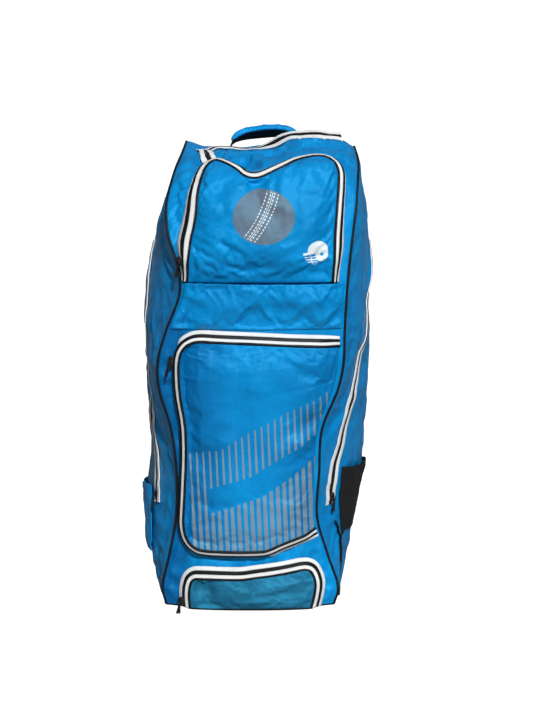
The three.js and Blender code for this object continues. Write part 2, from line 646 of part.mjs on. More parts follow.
// The middle pocket's rim comes down to the front towards the right seam
const lowest = RIM_PIPE + SEAT;
const MIDDLE_SLOPE = { from: 0.855, to: 0.985 };
const upperPocket = {
  places: samples(UPPER_RIM, [8, 20], [CELLS.upper[1], CELLS.upper[0], CELLS.upper[1]]),
  height: (w, v) => lerp(UPPER_FOOT, UPPER_RAISE, smooth(v, BAND.high, BAND.high + ABOVE_BAND.rim)),
  gusset: upperGusset,
  sides: arched(CELLS.upper), cells: CELLS.upper, puff: UPPER_PUFF,
  folds: UPPER_FOLDS, colour: COLOURS.blue,
};
const middlePocket = {
  places: samples(MIDDLE_RIM, [9, 19], [CELLS.middle[0], CELLS.middle[1], CELLS.middle[0]]),
  height: (w) => lerp(MIDDLE_RAISE, lowest, smooth(w, MIDDLE_SLOPE.from, MIDDLE_SLOPE.to)),
  sides: sideways(CELLS.middle), cells: CELLS.middle, gusset: () => MIDDLE_GUSSET, puff: MIDDLE_PUFF,
  folds: MIDDLE_FOLDS, colour: COLOURS.blue,
};
const lowerPocket = {
  places: samples(LOWER_RIM, [3, 11], [CELLS.lower[1], CELLS.lower[0], CELLS.lower[1]]),
  height: () => LOWER_RAISE,
  sides: arched(CELLS.lower), cells: CELLS.lower, gusset: () => LOWER_GUSSET, puff: LOWER_PUFF,
  folds: LOWER_FOLDS, colour: COLOURS.dull,
};

// How far the lower pocket stands off the front at the floor
function lowerProfile(w) {
  const share = LOWER_GUSSET / leftSeam(0).distanceTo(rightSeam(0));
  const left = LOWER_RIM[0][0];
  const right = LOWER_RIM.at(-1)[0];
  return LOWER_RAISE * clamp(Math.min(w - left + share, right + share - w) / share, 0, 1);
}

// The plain band between the upper and the middle pocket
const TAPER_POWER = 0.7;     // how full a patch stays towards its ends
function buildBand() {
  const skin = (depth) => (a, b) => {
    const w = lerp(BAND.left, BAND.right, a);
    const v = lerp(BAND.low, BAND.high, b);
    const taper = clamp(Math.min(a, 1 - a) / BAND_END, 0, 1) ** TAPER_POWER;
    const low = CLOTH + SEAT;
    const fade = smooth(Math.min(a, 1 - a), 0, BAND_END) * smooth(b, 0, 0.3) * (1 - b);
    const relief = foldHeight(BAND_FOLDS, a, b) * fade;
    return lay(front, w, v, low + (BAND_RAISE - low) * taper * b + relief - depth);
  };
  add('front_band', slab(skin(0), skin(CLOTH), CELLS.band), COLOURS.blue);
}

// A zip laid flat on a panel: two tapes with the chain between them
function buildZip(name, surface, rows, width, count, seat) {
  const curve = route(rows);
  const places = Array.from({ length: count + 1 }, (_, i) => curve.getPoint(i / count));
  const points = places.map((place) => surface(place.x, place.y));
  const ups = places.map((place) => normal(surface, place.x, place.y));
  const each = (width - 2 * GAP) / 3;
  const line = (offset) => places.map((place, i) => {
    const outward = ups[i].clone().cross(heading(points, i)).normalize();
    const [w, v] = shifted(surface, place.x, place.y, outward.multiplyScalar(offset));
    return lay(surface, w, v, seat);
  });
  zipKinds('front_tape', 'rear_tape').forEach(({ kind, thickness, colour }, k) => {
    const offset = -width / 2 + k * (each + GAP);
    add(`${name}_${kind}`, strip(line(offset), line(offset + each), ups, thickness), colour, 0.7);
  });
}

// A low pocket on a side, from its front edge to near the rear seam
function buildSidePocket(name, surface, rows, flip, colour) {
  const edge = route(rows);
  const skin = (depth) => (a, b) => {
    const start = edge.getPoint(b);
    const w = lerp(start.x, SIDE_POCKET_BACK, a);
    const taper = clamp(Math.min(a, 1 - a) / SIDE_POCKET_END, 0, 1) ** TAPER_POWER;
    const low = CLOTH + SEAT + GAP;
    const v = start.y - SIDE_POCKET_FALL * a * b;
    return lay(surface, flip ? 1 - w : w, v, low + SIDE_POCKET_RAISE * taper * b - depth);
  };
  add(name, slab(skin(0), skin(CLOTH), CELLS.sidePocket), colour, 0.8);
}

// The grab handle: webbing sewn down at both feet, with a padded cover round its arch
const HANDLE_MIDDLE = 0.075; // share of half the width where the handle is centred
const HANDLE_BACK = 0.412;   // share of the depth where its feet lie
const HANDLE_ENDS = [0.02, 0.98];  // shares of the half turn where the webbing ends
const GRIP_SHOULDER = 0.7;   // share of half its width where the handle's upper edge is bevelled

// Height of the top at a place seen from above, found by halving the share along the front
const HALVINGS = 30;
function topHeight(x, y) {
  let low = TOP_LINE_FROM;
  let high = 1;
  let point = front(0.5, high);
  for (let i = 0; i < HALVINGS; i += 1) {
    const v = (low + high) / 2;
    const a = leftSeam(v).x;
    point = front(clamp((x - a) / (rightSeam(v).x - a), 0, 1), v);
    if (point.y < y) {
      low = v;
    } else {
      high = v;
    }
  }
  return point.z;
}

function handleFrame(share) {
  const angle = Math.PI * share;
  const arch = Math.sin(angle);
  const lean = THREE.MathUtils.degToRad(HANDLE_LEAN) * arch;
  const middle = HANDLE_MIDDLE * WIDTH / 2;
  const x = middle - HANDLE_SPAN / 2 * Math.cos(angle);
  const footY = HANDLE_BACK * DEPTH;
  const footZ = (side) => topHeight(middle + side * HANDLE_SPAN / 2, footY);
  const ground = lerp(footZ(-1), footZ(1), (1 - Math.cos(angle)) / 2) + GAP;
  const rise = HANDLE_RISE * arch;
  return { point: vector(x, footY + rise * Math.sin(lean), ground + rise * Math.cos(lean)),
    across: vector(0, Math.cos(lean), -Math.sin(lean)) };
}

function handleSolid(skipped, low, high, width) {
  const frames = Array.from({ length: CELLS.handle + 1 },
    (_, i) => handleFrame(lerp(...HANDLE_ENDS, i / CELLS.handle)));
  const points = frames.map((frame) => frame.point);
  const sections = frames.map(({ point, across }, i) => {
    const up = heading(points, i).cross(across).normalize();
    const corner = (side, height) => point.clone()
      .addScaledVector(across, side * width / 2).addScaledVector(up, height);
    const bevel = (high - low) / 4;
    return [corner(-1, low), corner(1, low), corner(1, high - bevel), corner(GRIP_SHOULDER, high),
      corner(-GRIP_SHOULDER, high), corner(-1, high - bevel)];
  });
  return sweep(sections.slice(skipped, sections.length - skipped));
}

const BARE_FRAMES = 3;       // sections at each end of the webbing that its cover leaves bare
const GRIP_WIDTH = STRAP + 4;
function buildHandle() {
  add('top_handle_webbing', handleSolid(0, 0, STRAP_THICK, STRAP), COLOURS.black, 0.8);
  const cover = STRAP_THICK + 3 * GAP;
  add('top_handle_grip', handleSolid(BARE_FRAMES, cover, cover + GRIP_THICK, GRIP_WIDTH), COLOURS.blue);
}

const TAB_ROOT = 0.4;        // share of the slider's length where its pull tab begins

// A slider on a zip, with its pull tab. The frame gives the place on the chain, the direction of
// the zip and the way out; the tab leaves the slider's lower end.
function buildSlider(name, point, along, up, tabAlong, tabUp) {
  const place = (mesh, origin, direction, outward) => {
    const z = outward.clone().normalize();
    const y = direction.clone().addScaledVector(z, -direction.dot(z)).normalize();
    const x = y.clone().cross(z);
    mesh.applyMatrix4(new THREE.Matrix4().makeBasis(x, y, z).setPosition(origin));
  };
  const rounded = ({ length, width, height }) => {
    const shape = new THREE.Shape();
    shape.moveTo(-width / 2, 0);
    shape.lineTo(width / 2, 0);
    shape.lineTo(width / 2, length - width / 2);
    shape.absarc(0, length - width / 2, width / 2, 0, Math.PI, false);
    return new THREE.ExtrudeGeometry(shape, { depth: height, bevelEnabled: false, curveSegments: 6 });
  };
  const start = point.clone().addScaledVector(up, CHAIN + GAP)
    .addScaledVector(along, -SLIDER.length / 2);
  place(add(`${name}_slider`, rounded(SLIDER), COLOURS.black, 0.35), start, along, up);
  const side = tabAlong.clone().cross(tabUp).normalize();
  const turned = Math.abs(side.dot(up)) * TAB.width / 2;
  const tabStart = start.clone().addScaledVector(up, SLIDER.height + GAP + turned)
    .addScaledVector(along, SLIDER.length * TAB_ROOT);
  place(add(`${name}_pull_tab`, rounded(TAB), COLOURS.black, 0.5), tabStart, tabAlong, tabUp);
}

const NEARBY = 0.02;         // share of a zip's length between the two points that give its direction
const SIDE_SLIDER = 0.95;    // share of the side zips where their sliders stand
function gussetFrame(pocket, index) {
  const { near, far } = gussetStrip(pocket, 1);
  const middles = near.map((point, i) => between(point, far[i], 0.5));
  const along = heading(middles, index);
  const [w, v] = pocket.places[index];
  const up = far[index].clone().sub(near[index]).cross(along).normalize();
  if (up.dot(normal(front, w, v)) < 0) {
    up.negate();
  }
  return { point: middles[index], along, up };
}

function surfaceFrame(surface, rows, share) {
  const curve = route(rows);
  const at = (s) => {
    const place = curve.getPoint(s);
    return lay(surface, place.x, place.y, SEAT);
  };
  const place = curve.getPoint(share);
  const along = at(share + NEARBY).sub(at(share - NEARBY)).normalize();
  return { point: at(share), along, up: normal(surface, place.x, place.y) };
}

const TAB_SLOPE = 0.3;       // fall of the lower pocket's tab, which sticks out over the floor
const mirroredZip = LEFT_ZIP.map(([across, along]) => [1 - across, along]);
function buildSliders() {
  const down = vector(0, 0, -1);
  const upper = gussetFrame(upperPocket, 1);
  const toTheLeft = vector(-0.5, 0, -1);
  buildSlider('upper_pocket', upper.point, upper.along, upper.up, toTheLeft, upper.up);
  const middle = gussetFrame(middlePocket, CELLS.middle[0] + CELLS.middle[1] - 2);
  buildSlider('middle_pocket', middle.point, middle.along, middle.up, toTheLeft, middle.up);
  const low = gussetFrame(lowerPocket, 0);
  low.point.addScaledVector(low.along, LOWER_SLIDER);
  const toTheFront = vector(0, -1, -TAB_SLOPE);
  const above = vector(0, -TAB_SLOPE, 1);
  buildSlider('lower_pocket', low.point, low.along, low.up, toTheFront, above);
  const left = surfaceFrame(leftSide, mirroredZip, SIDE_SLIDER);
  buildSlider('left_side', left.point, left.along, left.up, down, left.up);
  const right = surfaceFrame(rightSide, RIGHT_ZIP, SIDE_SLIDER);
  buildSlider('right_side', right.point, right.along, right.up, down, right.up);
}

buildBody();
buildBase();
buildPipings();
buildPocket('upper_pocket', upperPocket);
buildPocket('middle_pocket', middlePocket);
buildPocket('lower_pocket', lowerPocket);
buildBand();
buildZip('right_side', rightSide, RIGHT_ZIP, SIDE_ZIP, CELLS.zip, SEAT);
buildZip('left_side', leftSide, mirroredZip, SIDE_ZIP, CELLS.zip, SEAT);
buildZip('top', front, TOP_ZIP_LINE, TOP_ZIP, CELLS.topZip, TOP_SEAT);
buildSidePocket('right_mesh_pocket', rightSide, MESH_FRONT, false, COLOURS.mesh);
buildSidePocket('left_low_pocket', leftSide, LEFT_POCKET_FRONT, true, COLOURS.blue);
buildHandle();
buildSliders();

// The origin lies on the floor under the middle of the bag
group.updateMatrixWorld(true);
const box = new THREE.Box3().setFromObject(group);
const middle = box.getCenter(vector(0, 0, 0));
group.position.set(-middle.x, -middle.y, -box.min.z);

export default group;
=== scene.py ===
# Cricket kit bag in a plain studio. Every piece is sewn from the same named sizes and tables as the
# part's solids, in millimetres, and is set down in metres in the part's frame.
import math

import bpy
import numpy as np
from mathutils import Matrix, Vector


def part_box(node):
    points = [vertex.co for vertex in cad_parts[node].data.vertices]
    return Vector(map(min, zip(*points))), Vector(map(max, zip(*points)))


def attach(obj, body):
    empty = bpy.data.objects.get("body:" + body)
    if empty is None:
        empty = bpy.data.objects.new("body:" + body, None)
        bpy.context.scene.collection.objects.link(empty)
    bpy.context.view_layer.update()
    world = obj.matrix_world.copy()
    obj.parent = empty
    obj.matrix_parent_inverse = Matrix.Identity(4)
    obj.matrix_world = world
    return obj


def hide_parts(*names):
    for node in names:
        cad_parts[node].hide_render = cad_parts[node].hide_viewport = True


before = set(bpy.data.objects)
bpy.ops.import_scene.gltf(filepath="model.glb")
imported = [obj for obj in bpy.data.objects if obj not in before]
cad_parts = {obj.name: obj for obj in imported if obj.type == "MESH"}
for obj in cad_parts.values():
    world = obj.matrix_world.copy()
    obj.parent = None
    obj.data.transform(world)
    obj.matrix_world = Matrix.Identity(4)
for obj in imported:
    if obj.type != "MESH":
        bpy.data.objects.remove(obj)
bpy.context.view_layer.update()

# Driving sizes of the body, in millimetres
WIDTH = 400
DEPTH = 310
HEIGHT = 777
BASE = 2.8
CLOTH = 2
SEAM_PIPE = 2.2
RIM_PIPE = 2.4
TAPE = 1.4
CHAIN = 2.2
GAP = 0.45
SEAT = 0.9
TOP_SEAT = 1.6

# Sizes of the pockets, tapes and handle
UPPER_RAISE = 19
UPPER_FOOT = 6
UPPER_PUFF = 12
UPPER_GUSSET = 18
UPPER_GUSSET_LEFT = 25
UPPER_GUSSET_FOOT = 10
MIDDLE_RAISE = 15
MIDDLE_PUFF = 7
MIDDLE_GUSSET = 15
LOWER_RAISE = 11
LOWER_PUFF = 5
LOWER_GUSSET = 18
BAND_RAISE = 13
SIDE_ZIP = 24
TOP_ZIP = 27
SIDE_POCKET_RAISE = 5
STRAP = 28
STRAP_THICK = 2.6
GRIP_THICK = 8
GRIP_WIDTH = 32
HANDLE_SPAN = 118
HANDLE_RISE = 24
HANDLE_LEAN = 40
HANDLE_MIDDLE = 0.075
HANDLE_BACK = 0.412

FOOT = BASE + GAP
RISE = HEIGHT - FOOT
BACK = 0.484
FRONT_POWER = 2.6
SIDE_POWER = 2.2
SEAM_TUCK = 1.2              # distance from the line of a long seam to the edge of its panels
LARGEST_INSET = 0.42

# Sections of the body from the floor to the top. X values are shares of half the width, Y values
# of the depth and levels of the height.
SECTION_COLUMNS = ["level", "left_x", "left_y", "right_x", "right_y", "mid_y", "mid_level",
                   "left_flank", "right_flank", "back_left", "back_right", "back_level"]
SECTIONS = [
    [0.000, -0.780, -0.447, 0.680, -0.447, -0.495, 0.000, -0.905, 0.800, -0.900, 0.860, 0.000],
    [0.044, -0.805, -0.452, 0.710, -0.452, -0.500, 0.044, -0.940, 0.810, -0.905, 0.865, 0.044],
    [0.120, -0.740, -0.452, 0.615, -0.445, -0.505, 0.120, -0.985, 0.865, -0.905, 0.870, 0.120],
    [0.207, -0.680, -0.445, 0.525, -0.440, -0.490, 0.207, -0.975, 0.905, -0.905, 0.875, 0.207],
    [0.307, -0.670, -0.445, 0.540, -0.440, -0.475, 0.307, -0.930, 0.940, -0.905, 0.880, 0.307],
    [0.405, -0.710, -0.445, 0.560, -0.440, -0.475, 0.405, -0.950, 0.965, -0.905, 0.890, 0.405],
    [0.497, -0.805, -0.445, 0.690, -0.445, -0.485, 0.497, -0.975, 0.985, -0.905, 0.900, 0.497],
    [0.561, -0.810, -0.452, 0.735, -0.452, -0.490, 0.561, -0.995, 0.990, -0.900, 0.905, 0.561],
    [0.627, -0.740, -0.458, 0.740, -0.452, -0.490, 0.627, -0.955, 0.995, -0.885, 0.910, 0.627],
    [0.711, -0.620, -0.452, 0.755, -0.445, -0.485, 0.711, -0.910, 0.980, -0.850, 0.910, 0.711],
    [0.775, -0.645, -0.426, 0.775, -0.426, -0.470, 0.775, -0.870, 0.965, -0.810, 0.910, 0.775],
    [0.830, -0.715, -0.381, 0.800, -0.394, -0.450, 0.833, -0.840, 0.960, -0.770, 0.905, 0.830],
    [0.890, -0.735, -0.290, 0.830, -0.339, -0.425, 0.905, -0.785, 0.935, -0.720, 0.900, 0.890],
    [0.943, -0.690, -0.097, 0.850, -0.242, -0.310, 0.962, -0.705, 0.905, -0.680, 0.895, 0.940],
    [0.975, -0.640, 0.161, 0.875, 0.000, 0.000, 0.985, -0.645, 0.890, -0.645, 0.890, 0.968],
    [0.990, -0.625, 0.435, 0.880, 0.435, 0.435, 0.990, -0.625, 0.880, -0.628, 0.882, 0.984],
]
TOP_LINE = [
    [-1.00, 0.008], [-0.63, 0.006], [-0.45, -0.006], [-0.12, -0.008], [0.10, -0.002],
    [0.35, 0.005], [0.60, 0.008], [0.77, 0.008], [0.88, -0.006], [1.00, -0.010],
]
TOP_LINE_FROM = 0.90
TOP_LINE_FULL = 0.985

# Dents and folds: place across and along, reach to each side, turn in degrees and height as a
# share of the width
FRONT_FOLDS = [
    [0.26, 0.930, 0.07, 0.014, 30, 0.010], [0.42, 0.922, 0.08, 0.012, -25, 0.012],
    [0.60, 0.930, 0.07, 0.012, 25, 0.010], [0.78, 0.936, 0.06, 0.012, -30, 0.008],
    [0.78, 0.966, 0.24, 0.014, 0, 0.032],
]
UPPER_FOLDS = [
    [0.45, 0.93, 0.13, 0.10, 0, -0.030], [0.20, 0.62, 0.06, 0.28, 8, -0.010],
    [0.80, 0.55, 0.07, 0.30, -8, 0.010], [0.45, 0.12, 0.30, 0.07, 0, -0.014],
]
MIDDLE_FOLDS = [
    [0.20, 0.38, 0.10, 0.05, -35, -0.014], [0.88, 0.52, 0.09, 0.06, 25, -0.018],
    [0.82, 0.44, 0.10, 0.05, 30, 0.012], [0.50, 0.70, 0.22, 0.12, 15, 0.010],
]
LOWER_FOLDS = [
    [0.12, 0.50, 0.10, 0.20, 50, -0.014], [0.75, 0.55, 0.20, 0.10, 4, 0.008],
    [0.72, 0.32, 0.20, 0.08, -4, -0.010],
]
BAND_FOLDS = [
    [0.06, 0.45, 0.03, 0.45, -12, -0.014], [0.35, 0.50, 0.16, 0.16, 35, 0.010],
    [0.62, 0.45, 0.14, 0.16, -30, -0.010], [0.86, 0.55, 0.10, 0.18, 30, 0.008],
]
SIDE_FOLDS = [
    [0.35, 0.74, 0.12, 0.05, 25, -0.012], [0.55, 0.60, 0.16, 0.05, -20, 0.010],
    [0.45, 0.44, 0.14, 0.05, 20, -0.010],
]
SEAM_FADE = 0.06
FLOOR_FADE = 0.04
FACE_POWER = 2.5
DOME_POWER = 0.8
FACE_FADE = 0.12
TAPER_POWER = 0.7

# Rims of the pockets, as shares across and along the front, clockwise as seen from the front
UPPER_RIM = [
    [0.045, 0.6235], [0.080, 0.668], [0.126, 0.714], [0.165, 0.754], [0.182, 0.780],
    [0.188, 0.803], [0.193, 0.825], [0.200, 0.850], [0.215, 0.868], [0.245, 0.876],
    [0.300, 0.867], [0.360, 0.854], [0.409, 0.841], [0.455, 0.836], [0.496, 0.838],
    [0.550, 0.847], [0.620, 0.858], [0.682, 0.870], [0.754, 0.878], [0.810, 0.878],
    [0.849, 0.869], [0.869, 0.856], [0.874, 0.838], [0.877, 0.802], [0.882, 0.766],
    [0.890, 0.720], [0.897, 0.670], [0.905, 0.6235],
]
MIDDLE_RIM = [
    [0.968, 0.180], [0.900, 0.174], [0.824, 0.168], [0.719, 0.159], [0.635, 0.150],
    [0.558, 0.147], [0.362, 0.147], [0.231, 0.148], [0.170, 0.152], [0.113, 0.165],
    [0.076, 0.187], [0.067, 0.214], [0.072, 0.261], [0.097, 0.314], [0.117, 0.357],
    [0.125, 0.400], [0.125, 0.441], [0.120, 0.477], [0.127, 0.498], [0.151, 0.511],
    [0.199, 0.518], [0.309, 0.517], [0.508, 0.514], [0.702, 0.510], [0.866, 0.507],
    [0.968, 0.504],
]
LOWER_RIM = [
    [0.150, 0.000], [0.157, 0.050], [0.163, 0.080], [0.181, 0.092], [0.226, 0.094],
    [0.341, 0.094], [0.454, 0.094], [0.544, 0.098], [0.641, 0.102], [0.728, 0.106],
    [0.814, 0.110], [0.853, 0.108], [0.868, 0.100], [0.871, 0.083], [0.858, 0.050],
    [0.857, 0.000],
]
UPPER_CORNERS = (8, 20)
MIDDLE_CORNERS = (9, 19)
LOWER_CORNERS = (3, 11)
BAND_LEFT = 0.022
BAND_RIGHT = 0.982
BAND_LOW = 0.5400
BAND_HIGH = 0.6200
BAND_END = 0.07
LEFT_ZIP = [
    [0.56, 0.680], [0.50, 0.620], [0.44, 0.555], [0.41, 0.490], [0.38, 0.430], [0.36, 0.370],
    [0.32, 0.310], [0.27, 0.262], [0.23, 0.232], [0.20, 0.205],
]
RIGHT_ZIP = [
    [0.60, 0.680], [0.52, 0.625], [0.40, 0.564], [0.306, 0.494], [0.238, 0.427], [0.200, 0.384],
    [0.178, 0.345], [0.150, 0.305], [0.112, 0.266], [0.100, 0.235], [0.100, 0.210],
]
TOP_ZIP_LINE = [
    [0.190, 0.908], [0.150, 0.928], [0.120, 0.950], [0.123, 0.967], [0.175, 0.976],
    [0.300, 0.977], [0.450, 0.974], [0.600, 0.969], [0.760, 0.966], [0.905, 0.966],
]
MESH_FRONT = [[0.200, 0.145], [0.175, 0.189], [0.170, 0.232], [0.172, 0.262]]
LEFT_POCKET_FRONT = [[0.235, 0.112], [0.230, 0.150], [0.262, 0.190], [0.300, 0.224]]
SIDE_POCKET_BACK = 0.955
SIDE_POCKET_END = 0.15
SIDE_POCKET_FALL = 0.04      # how much lower its mouth lies at the rear, in shares of the height
GUSSET_LINE = [
    [0.128, 0.178], [0.150, 0.165], [0.185, 0.143], [0.218, 0.118], [0.225, 0.091],
    [0.180, 0.050], [0.130, 0.000],
]
mirrored_zip = [[1 - across, along] for across, along in LEFT_ZIP]

# The part's frame has its origin under the middle of its box. The flat back and the piping along
# its upper edge give the step from the tables to that frame.
back_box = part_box("back_panel")
pipe_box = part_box("top_back_piping")
back_middle = (SECTIONS[-1][9] + SECTIONS[-1][10]) / 4 * WIDTH
SHIFT = np.array([
    (pipe_box[0][0] + pipe_box[1][0]) * 500 - back_middle,
    back_box[1][1] * 1000 - BACK * DEPTH,
    0.0,
])


# Tables and curves
def through(values, share):
    values = np.asarray(values, float)
    spans = len(values) - 1
    place = np.clip(share, 0, 1) * spans
    i = np.minimum(place.astype(int), spans - 1)
    f = place - i
    longer = np.concatenate([[2 * values[0] - values[1]], values, [2 * values[-1] - values[-2]]])
    a, b, c, d = longer[i], longer[i + 1], longer[i + 2], longer[i + 3]
    if values.ndim > 1:
        f = f[..., None]
    return 0.5 * (2 * b + (c - a) * f + (2 * a - 5 * b + 4 * c - d) * f ** 2
                  + (3 * b - a - 3 * c + d) * f ** 3)


levels = {name: [row[k] for row in SECTIONS] for k, name in enumerate(SECTION_COLUMNS)}


def smooth(value, low, high):
    t = np.clip((value - low) / (high - low), 0, 1)
    return t * t * (3 - 2 * t)


def lerp(a, b, share):
    return a + (b - a) * share


def inside(share, low, high):
    """0 near both ends of a share from 0 to 1, and 1 further in."""
    return smooth(np.minimum(share, 1 - share), low, high)


def off_floor(points):
    """The points, with none lower than the foot of the cloth."""
    points[..., 2] = np.maximum(points[..., 2], FOOT)
    return points


def unit(vectors):
    length = np.linalg.norm(vectors, axis=-1, keepdims=True)
    return vectors / np.maximum(length, 1e-9)


def crown(w, power):
    return 1 - np.abs(2 * w - 1) ** power


def top_lift(x):
    across = np.array([row[0] for row in TOP_LINE])
    lift = np.array([row[1] for row in TOP_LINE])
    place = np.clip(x / (WIDTH / 2), across[0], across[-1])
    i = np.clip(np.searchsorted(across, place), 1, len(across) - 1)
    share = (place - across[i - 1]) / (across[i] - across[i - 1])
    return HEIGHT * lerp(lift[i - 1], lift[i], smooth(share, 0, 1))


def body_point(x, y, level):
    parts = np.broadcast_arrays(x * WIDTH / 2, y * DEPTH, FOOT + level * RISE)
    return np.stack(parts, -1)


def swelled(points):
    points = points.copy()
    share = smooth(points[..., 2] / HEIGHT, TOP_LINE_FROM, TOP_LINE_FULL)
    points[..., 2] += top_lift(points[..., 0]) * share
    return points


# The four long seams and the panels between them
def left_line(v):
    return body_point(through(levels["left_x"], v), through(levels["left_y"], v),
                      through(levels["level"], v))


def right_line(v):
    return body_point(through(levels["right_x"], v), through(levels["right_y"], v),
                      through(levels["level"], v))


def left_back_line(v):
    return body_point(through(levels["back_left"], v), BACK, through(levels["back_level"], v))


def right_back_line(v):
    return body_point(through(levels["back_right"], v), BACK, through(levels["back_level"], v))


def left_seam(v):
    return swelled(left_line(v))


def right_seam(v):
    return swelled(right_line(v))


def left_back(v):
    return swelled(left_back_line(v))


def right_back(v):
    return swelled(right_back_line(v))


def bulged(a, b, middle, w, power):
    straight = lerp(a, b, w[..., None])
    return straight + (middle - (a + b) / 2) * crown(w, power)[..., None]


def front_shape(w, v):
    a = left_line(v)
    b = right_line(v)
    middle = body_point((a[..., 0] + b[..., 0]) / WIDTH, through(levels["mid_y"], v),
                        through(levels["mid_level"], v))
    return swelled(bulged(a, b, middle, w, FRONT_POWER))


def side_shape(hand):
    def shape(w, v):
        a = left_line(v) if hand < 0 else right_line(v)
        b = left_back_line(v) if hand < 0 else right_back_line(v)
        middle = (a + b) / 2
        flank = levels["left_flank"] if hand < 0 else levels["right_flank"]
        middle[..., 0] = through(flank, v) * WIDTH / 2
        return swelled(bulged(a, b, middle, w, SIDE_POWER))
    return shape


def back_shape(w, v):
    return swelled(lerp(right_back_line(v), left_back_line(v), w[..., None]))


STEP = 1e-3


def slopes(surface, w, v, step=STEP):
    w0 = np.clip(w, step, 1 - step)
    v0 = np.clip(v, step, 1 - step)
    across = (surface(w0 + step, v0) - surface(w0 - step, v0)) / (2 * step)
    along = (surface(w0, v0 + step) - surface(w0, v0 - step)) / (2 * step)
    return across, along


def normal(surface, w, v):
    across, along = slopes(surface, w, v)
    return unit(np.cross(across, along))


def lay(surface, w, v, height):
    w, v, height = np.broadcast_arrays(w, v, height)
    return off_floor(surface(w, v) + normal(surface, w, v) * height[..., None])


def fold_height(folds, w, v):
    height = np.zeros(np.broadcast(w, v).shape)
    for across, along, reach_across, reach_along, turn, share in folds:
        angle = math.radians(turn)
        a = (w - across) / reach_across
        b = (v - along) / reach_along
        u = a * math.cos(angle) + b * math.sin(angle)
        t = b * math.cos(angle) - a * math.sin(angle)
        height = height + share * WIDTH * np.exp(-(u * u + t * t))
    return height


def folded(surface, folds, flip):
    def shape(w, v):
        edge = inside(w, 0, SEAM_FADE) * smooth(v, 0, FLOOR_FADE)
        height = flip * edge * fold_height(folds, w, v)
        return surface(w, v) + normal(surface, w, v) * height[..., None]
    return shape


front = folded(front_shape, FRONT_FOLDS, 1)
right_side = folded(side_shape(1), SIDE_FOLDS, 1)
left_raw = folded(side_shape(-1), SIDE_FOLDS, -1)


def left_side(w, v):
    return left_raw(1 - w, v)


def shifted(surface, w, v, move):
    across, along = slopes(surface, w, v)
    aa = np.sum(across * across, -1)
    ab = np.sum(across * along, -1)
    bb = np.sum(along * along, -1)
    ma = np.sum(move * across, -1)
    mb = np.sum(move * along, -1)
    size = aa * bb - ab * ab
    return w + (ma * bb - mb * ab) / size, v + (mb * aa - ma * ab) / size


def seam_share(seam, opposite, v, distance=SEAM_TUCK):
    place = np.clip(v, STEP, 1 - STEP)
    along = unit(seam(place + STEP) - seam(place - STEP))
    across = opposite(v) - seam(v)
    across = across - along * np.sum(across * along, -1, keepdims=True)
    return np.minimum(distance / np.linalg.norm(across, axis=-1), LARGEST_INSET)


def heading(points):
    ahead = np.roll(points, -1, 0)
    behind = np.roll(points, 1, 0)
    ahead[-1] = points[-1]
    behind[0] = points[0]
    return unit(ahead - behind)


def grid(columns, rows):
    a = np.linspace(0, 1, columns + 1)
    b = np.linspace(0, 1, rows + 1)
    return np.meshgrid(a, b, indexing="ij")


# Crumpled cloth: soft noise from a seeded lattice, and the sharp ridges that coated nylon shows
class Lattice:
    def __init__(self, seed, cells=64):
        self.cells = cells
        self.values = np.random.default_rng(seed).uniform(-1, 1, (cells, cells))

    def at(self, x, y):
        i = np.floor(x).astype(int)
        j = np.floor(y).astype(int)
        u = smooth(x - i, 0, 1)
        t = smooth(y - j, 0, 1)
        n = self.cells
        v = self.values
        low = lerp(v[i % n, j % n], v[(i + 1) % n, j % n], u)
        high = lerp(v[i % n, (j + 1) % n], v[(i + 1) % n, (j + 1) % n], u)
        return lerp(low, high, t)


CRUMPLE_MEAN = 0.38

# Crumples of each piece: height, size across the folds, turn in degrees, stretch along them, seed
TOP_LARGE = [[10.0, 46, 62, 1.2, 11]]
TOP_FINE = [[3.0, 18, -40, 1.5, 12]]
STRIP_CRUMPLES = [[3.6, 18, 50, 1.8, 13]]
LOW_CRUMPLES = [[5.0, 26, 70, 1.6, 14]]
BESIDE_CRUMPLES = [[3.0, 30, 20, 1.6, 15]]
SIDE_CRUMPLES = [[2.6, 60, 55, 1.7, 0], [1.2, 26, -35, 1.6, 1]]
BACK_CRUMPLES = [[1.6, 90, 70, 1.6, 41], [0.8, 36, -20, 1.8, 42]]
BAND_CRUMPLES = [[6.5, 46, 50, 2.4, 51], [2.0, 22, -45, 2.0, 52]]
UPPER_CRUMPLES = [[5.4, 66, 62, 2.2, 61], [1.6, 26, 25, 1.7, 62]]
UPPER_CORNER_CRUMPLES = [[3.6, 18, -30, 2.2, 63]]
MIDDLE_CRUMPLES = [[2.6, 84, 72, 2.2, 71], [0.8, 34, -25, 1.7, 72]]
LOWER_CRUMPLES = [[2.4, 13, 4, 5.0, 81], [0.7, 8, -12, 4.0, 82]]
SIDE_POCKET_CRUMPLES = [[0.9, 30, 30, 1.6, 91]]

# Where a kind of crumple begins and where it is full, in shares across or along its panel
TOP_ZONE = (0.870, 0.895)
TOP_FREE = (0.885, 0.930)
UPPER_STRIP_ZONE = (0.60, 0.68)
UPPER_STRIP_FREE = (0.66, 0.70)
UPPER_STRIP_END = (0.10, 0.16)
LOW_ZONE = (0.14, 0.17)
BESIDE_END = (0.55, 0.60)
BESIDE_RIGHT = (0.10, 0.14)
FLOOR_HELD = (0.0, 0.03)
FACE_HELD = (0.01, 0.06)
RELIEF_FADE = 0.07


